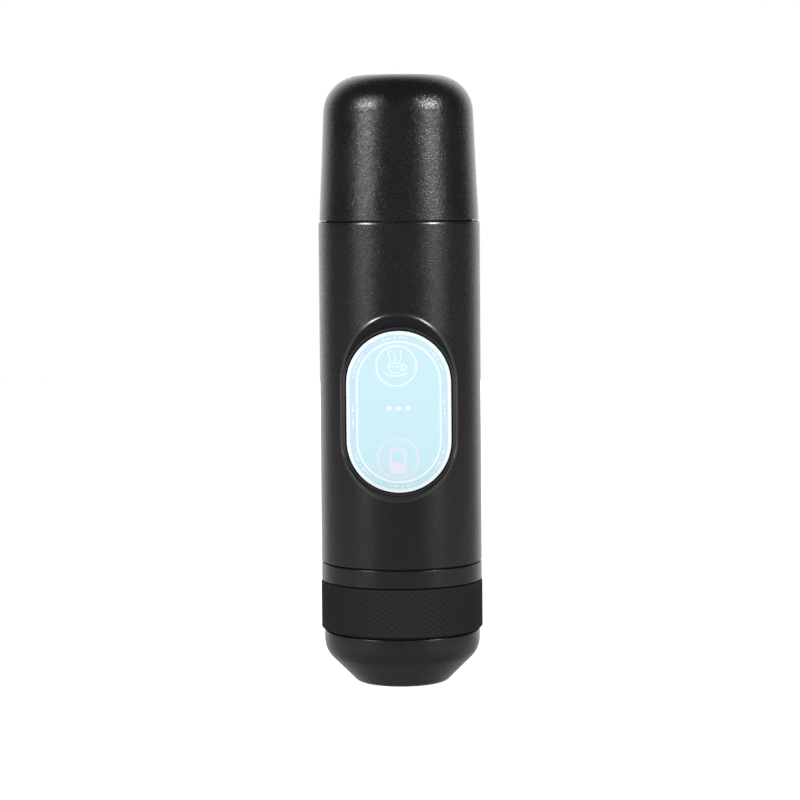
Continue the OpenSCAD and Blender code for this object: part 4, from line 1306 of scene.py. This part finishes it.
world = bpy.data.worlds.new("studio")
bpy.context.scene.world = world
world.use_nodes = True
sky = world.node_tree
sky.nodes.clear()
coords = sky.nodes.new("ShaderNodeTexCoord")
parts = sky.nodes.new("ShaderNodeSeparateXYZ")
link(sky, coords.outputs["Generated"], parts.inputs["Vector"])


def joined(kind, *values):
    """Takes values together, one after the other, by one kind of sum."""
    total = values[0]
    for value in values[1:]:
        node = sky.nodes.new("ShaderNodeMath")
        node.operation = kind
        link(sky, total, node.inputs[0])
        link(sky, value, node.inputs[1])
        total = node.outputs["Value"]
    return total


product = sky.nodes.new("ShaderNodeVectorMath")
product.operation = "DOT_PRODUCT"
product.inputs[1].default_value = (-VIEW_X, -VIEW_Y, 0)
link(sky, coords.outputs["Generated"], product.inputs[0])
behind = product.outputs["Value"]
height = parts.outputs["Z"]
back_wall = spread(sky, behind, 0.50, 0.82, 0.03, 1.22)
low_dim = spread(sky, height, -0.38, -0.08, 0.22, 1.0)
high_glow = spread(sky, height, -0.08, 0.05, 1.0, 1.3)
room = joined("MULTIPLY", back_wall, low_dim, high_glow)
beside = spread(sky, behind, -0.8, -0.2, 0.02, 0.09)
ground = spread(sky, height, -0.02, -0.16, 0.0, 0.54)
under = spread(sky, height, -0.25, -0.80, 1.0, 0.42)
ground_side = spread(sky, behind, -1.0, -0.62, 0.84, 1.45)
ground_back = spread(sky, behind, -0.5, 0.3, 1.0, 0.75)
lower = joined("MULTIPLY", ground, under, ground_side, ground_back)
both = joined("MAXIMUM", room, joined("ADD", beside, lower))
room_light = sky.nodes.new("ShaderNodeBackground")
room_light.inputs["Color"].default_value = (1, 1, 1, 1)
link(sky, both, room_light.inputs["Strength"])
paper_light = sky.nodes.new("ShaderNodeBackground")
paper_light.inputs["Color"].default_value = (1, 1, 1, 1)
path = sky.nodes.new("ShaderNodeLightPath")
either = sky.nodes.new("ShaderNodeMixShader")
link(sky, path.outputs["Is Camera Ray"], either.inputs["Fac"])
link(sky, room_light.outputs["Background"], either.inputs[1])
link(sky, paper_light.outputs["Background"], either.inputs[2])
sky_out = sky.nodes.new("ShaderNodeOutputWorld")
link(sky, either.outputs["Shader"], sky_out.inputs["Surface"])
bpy.context.scene.view_settings.view_transform = "Standard"
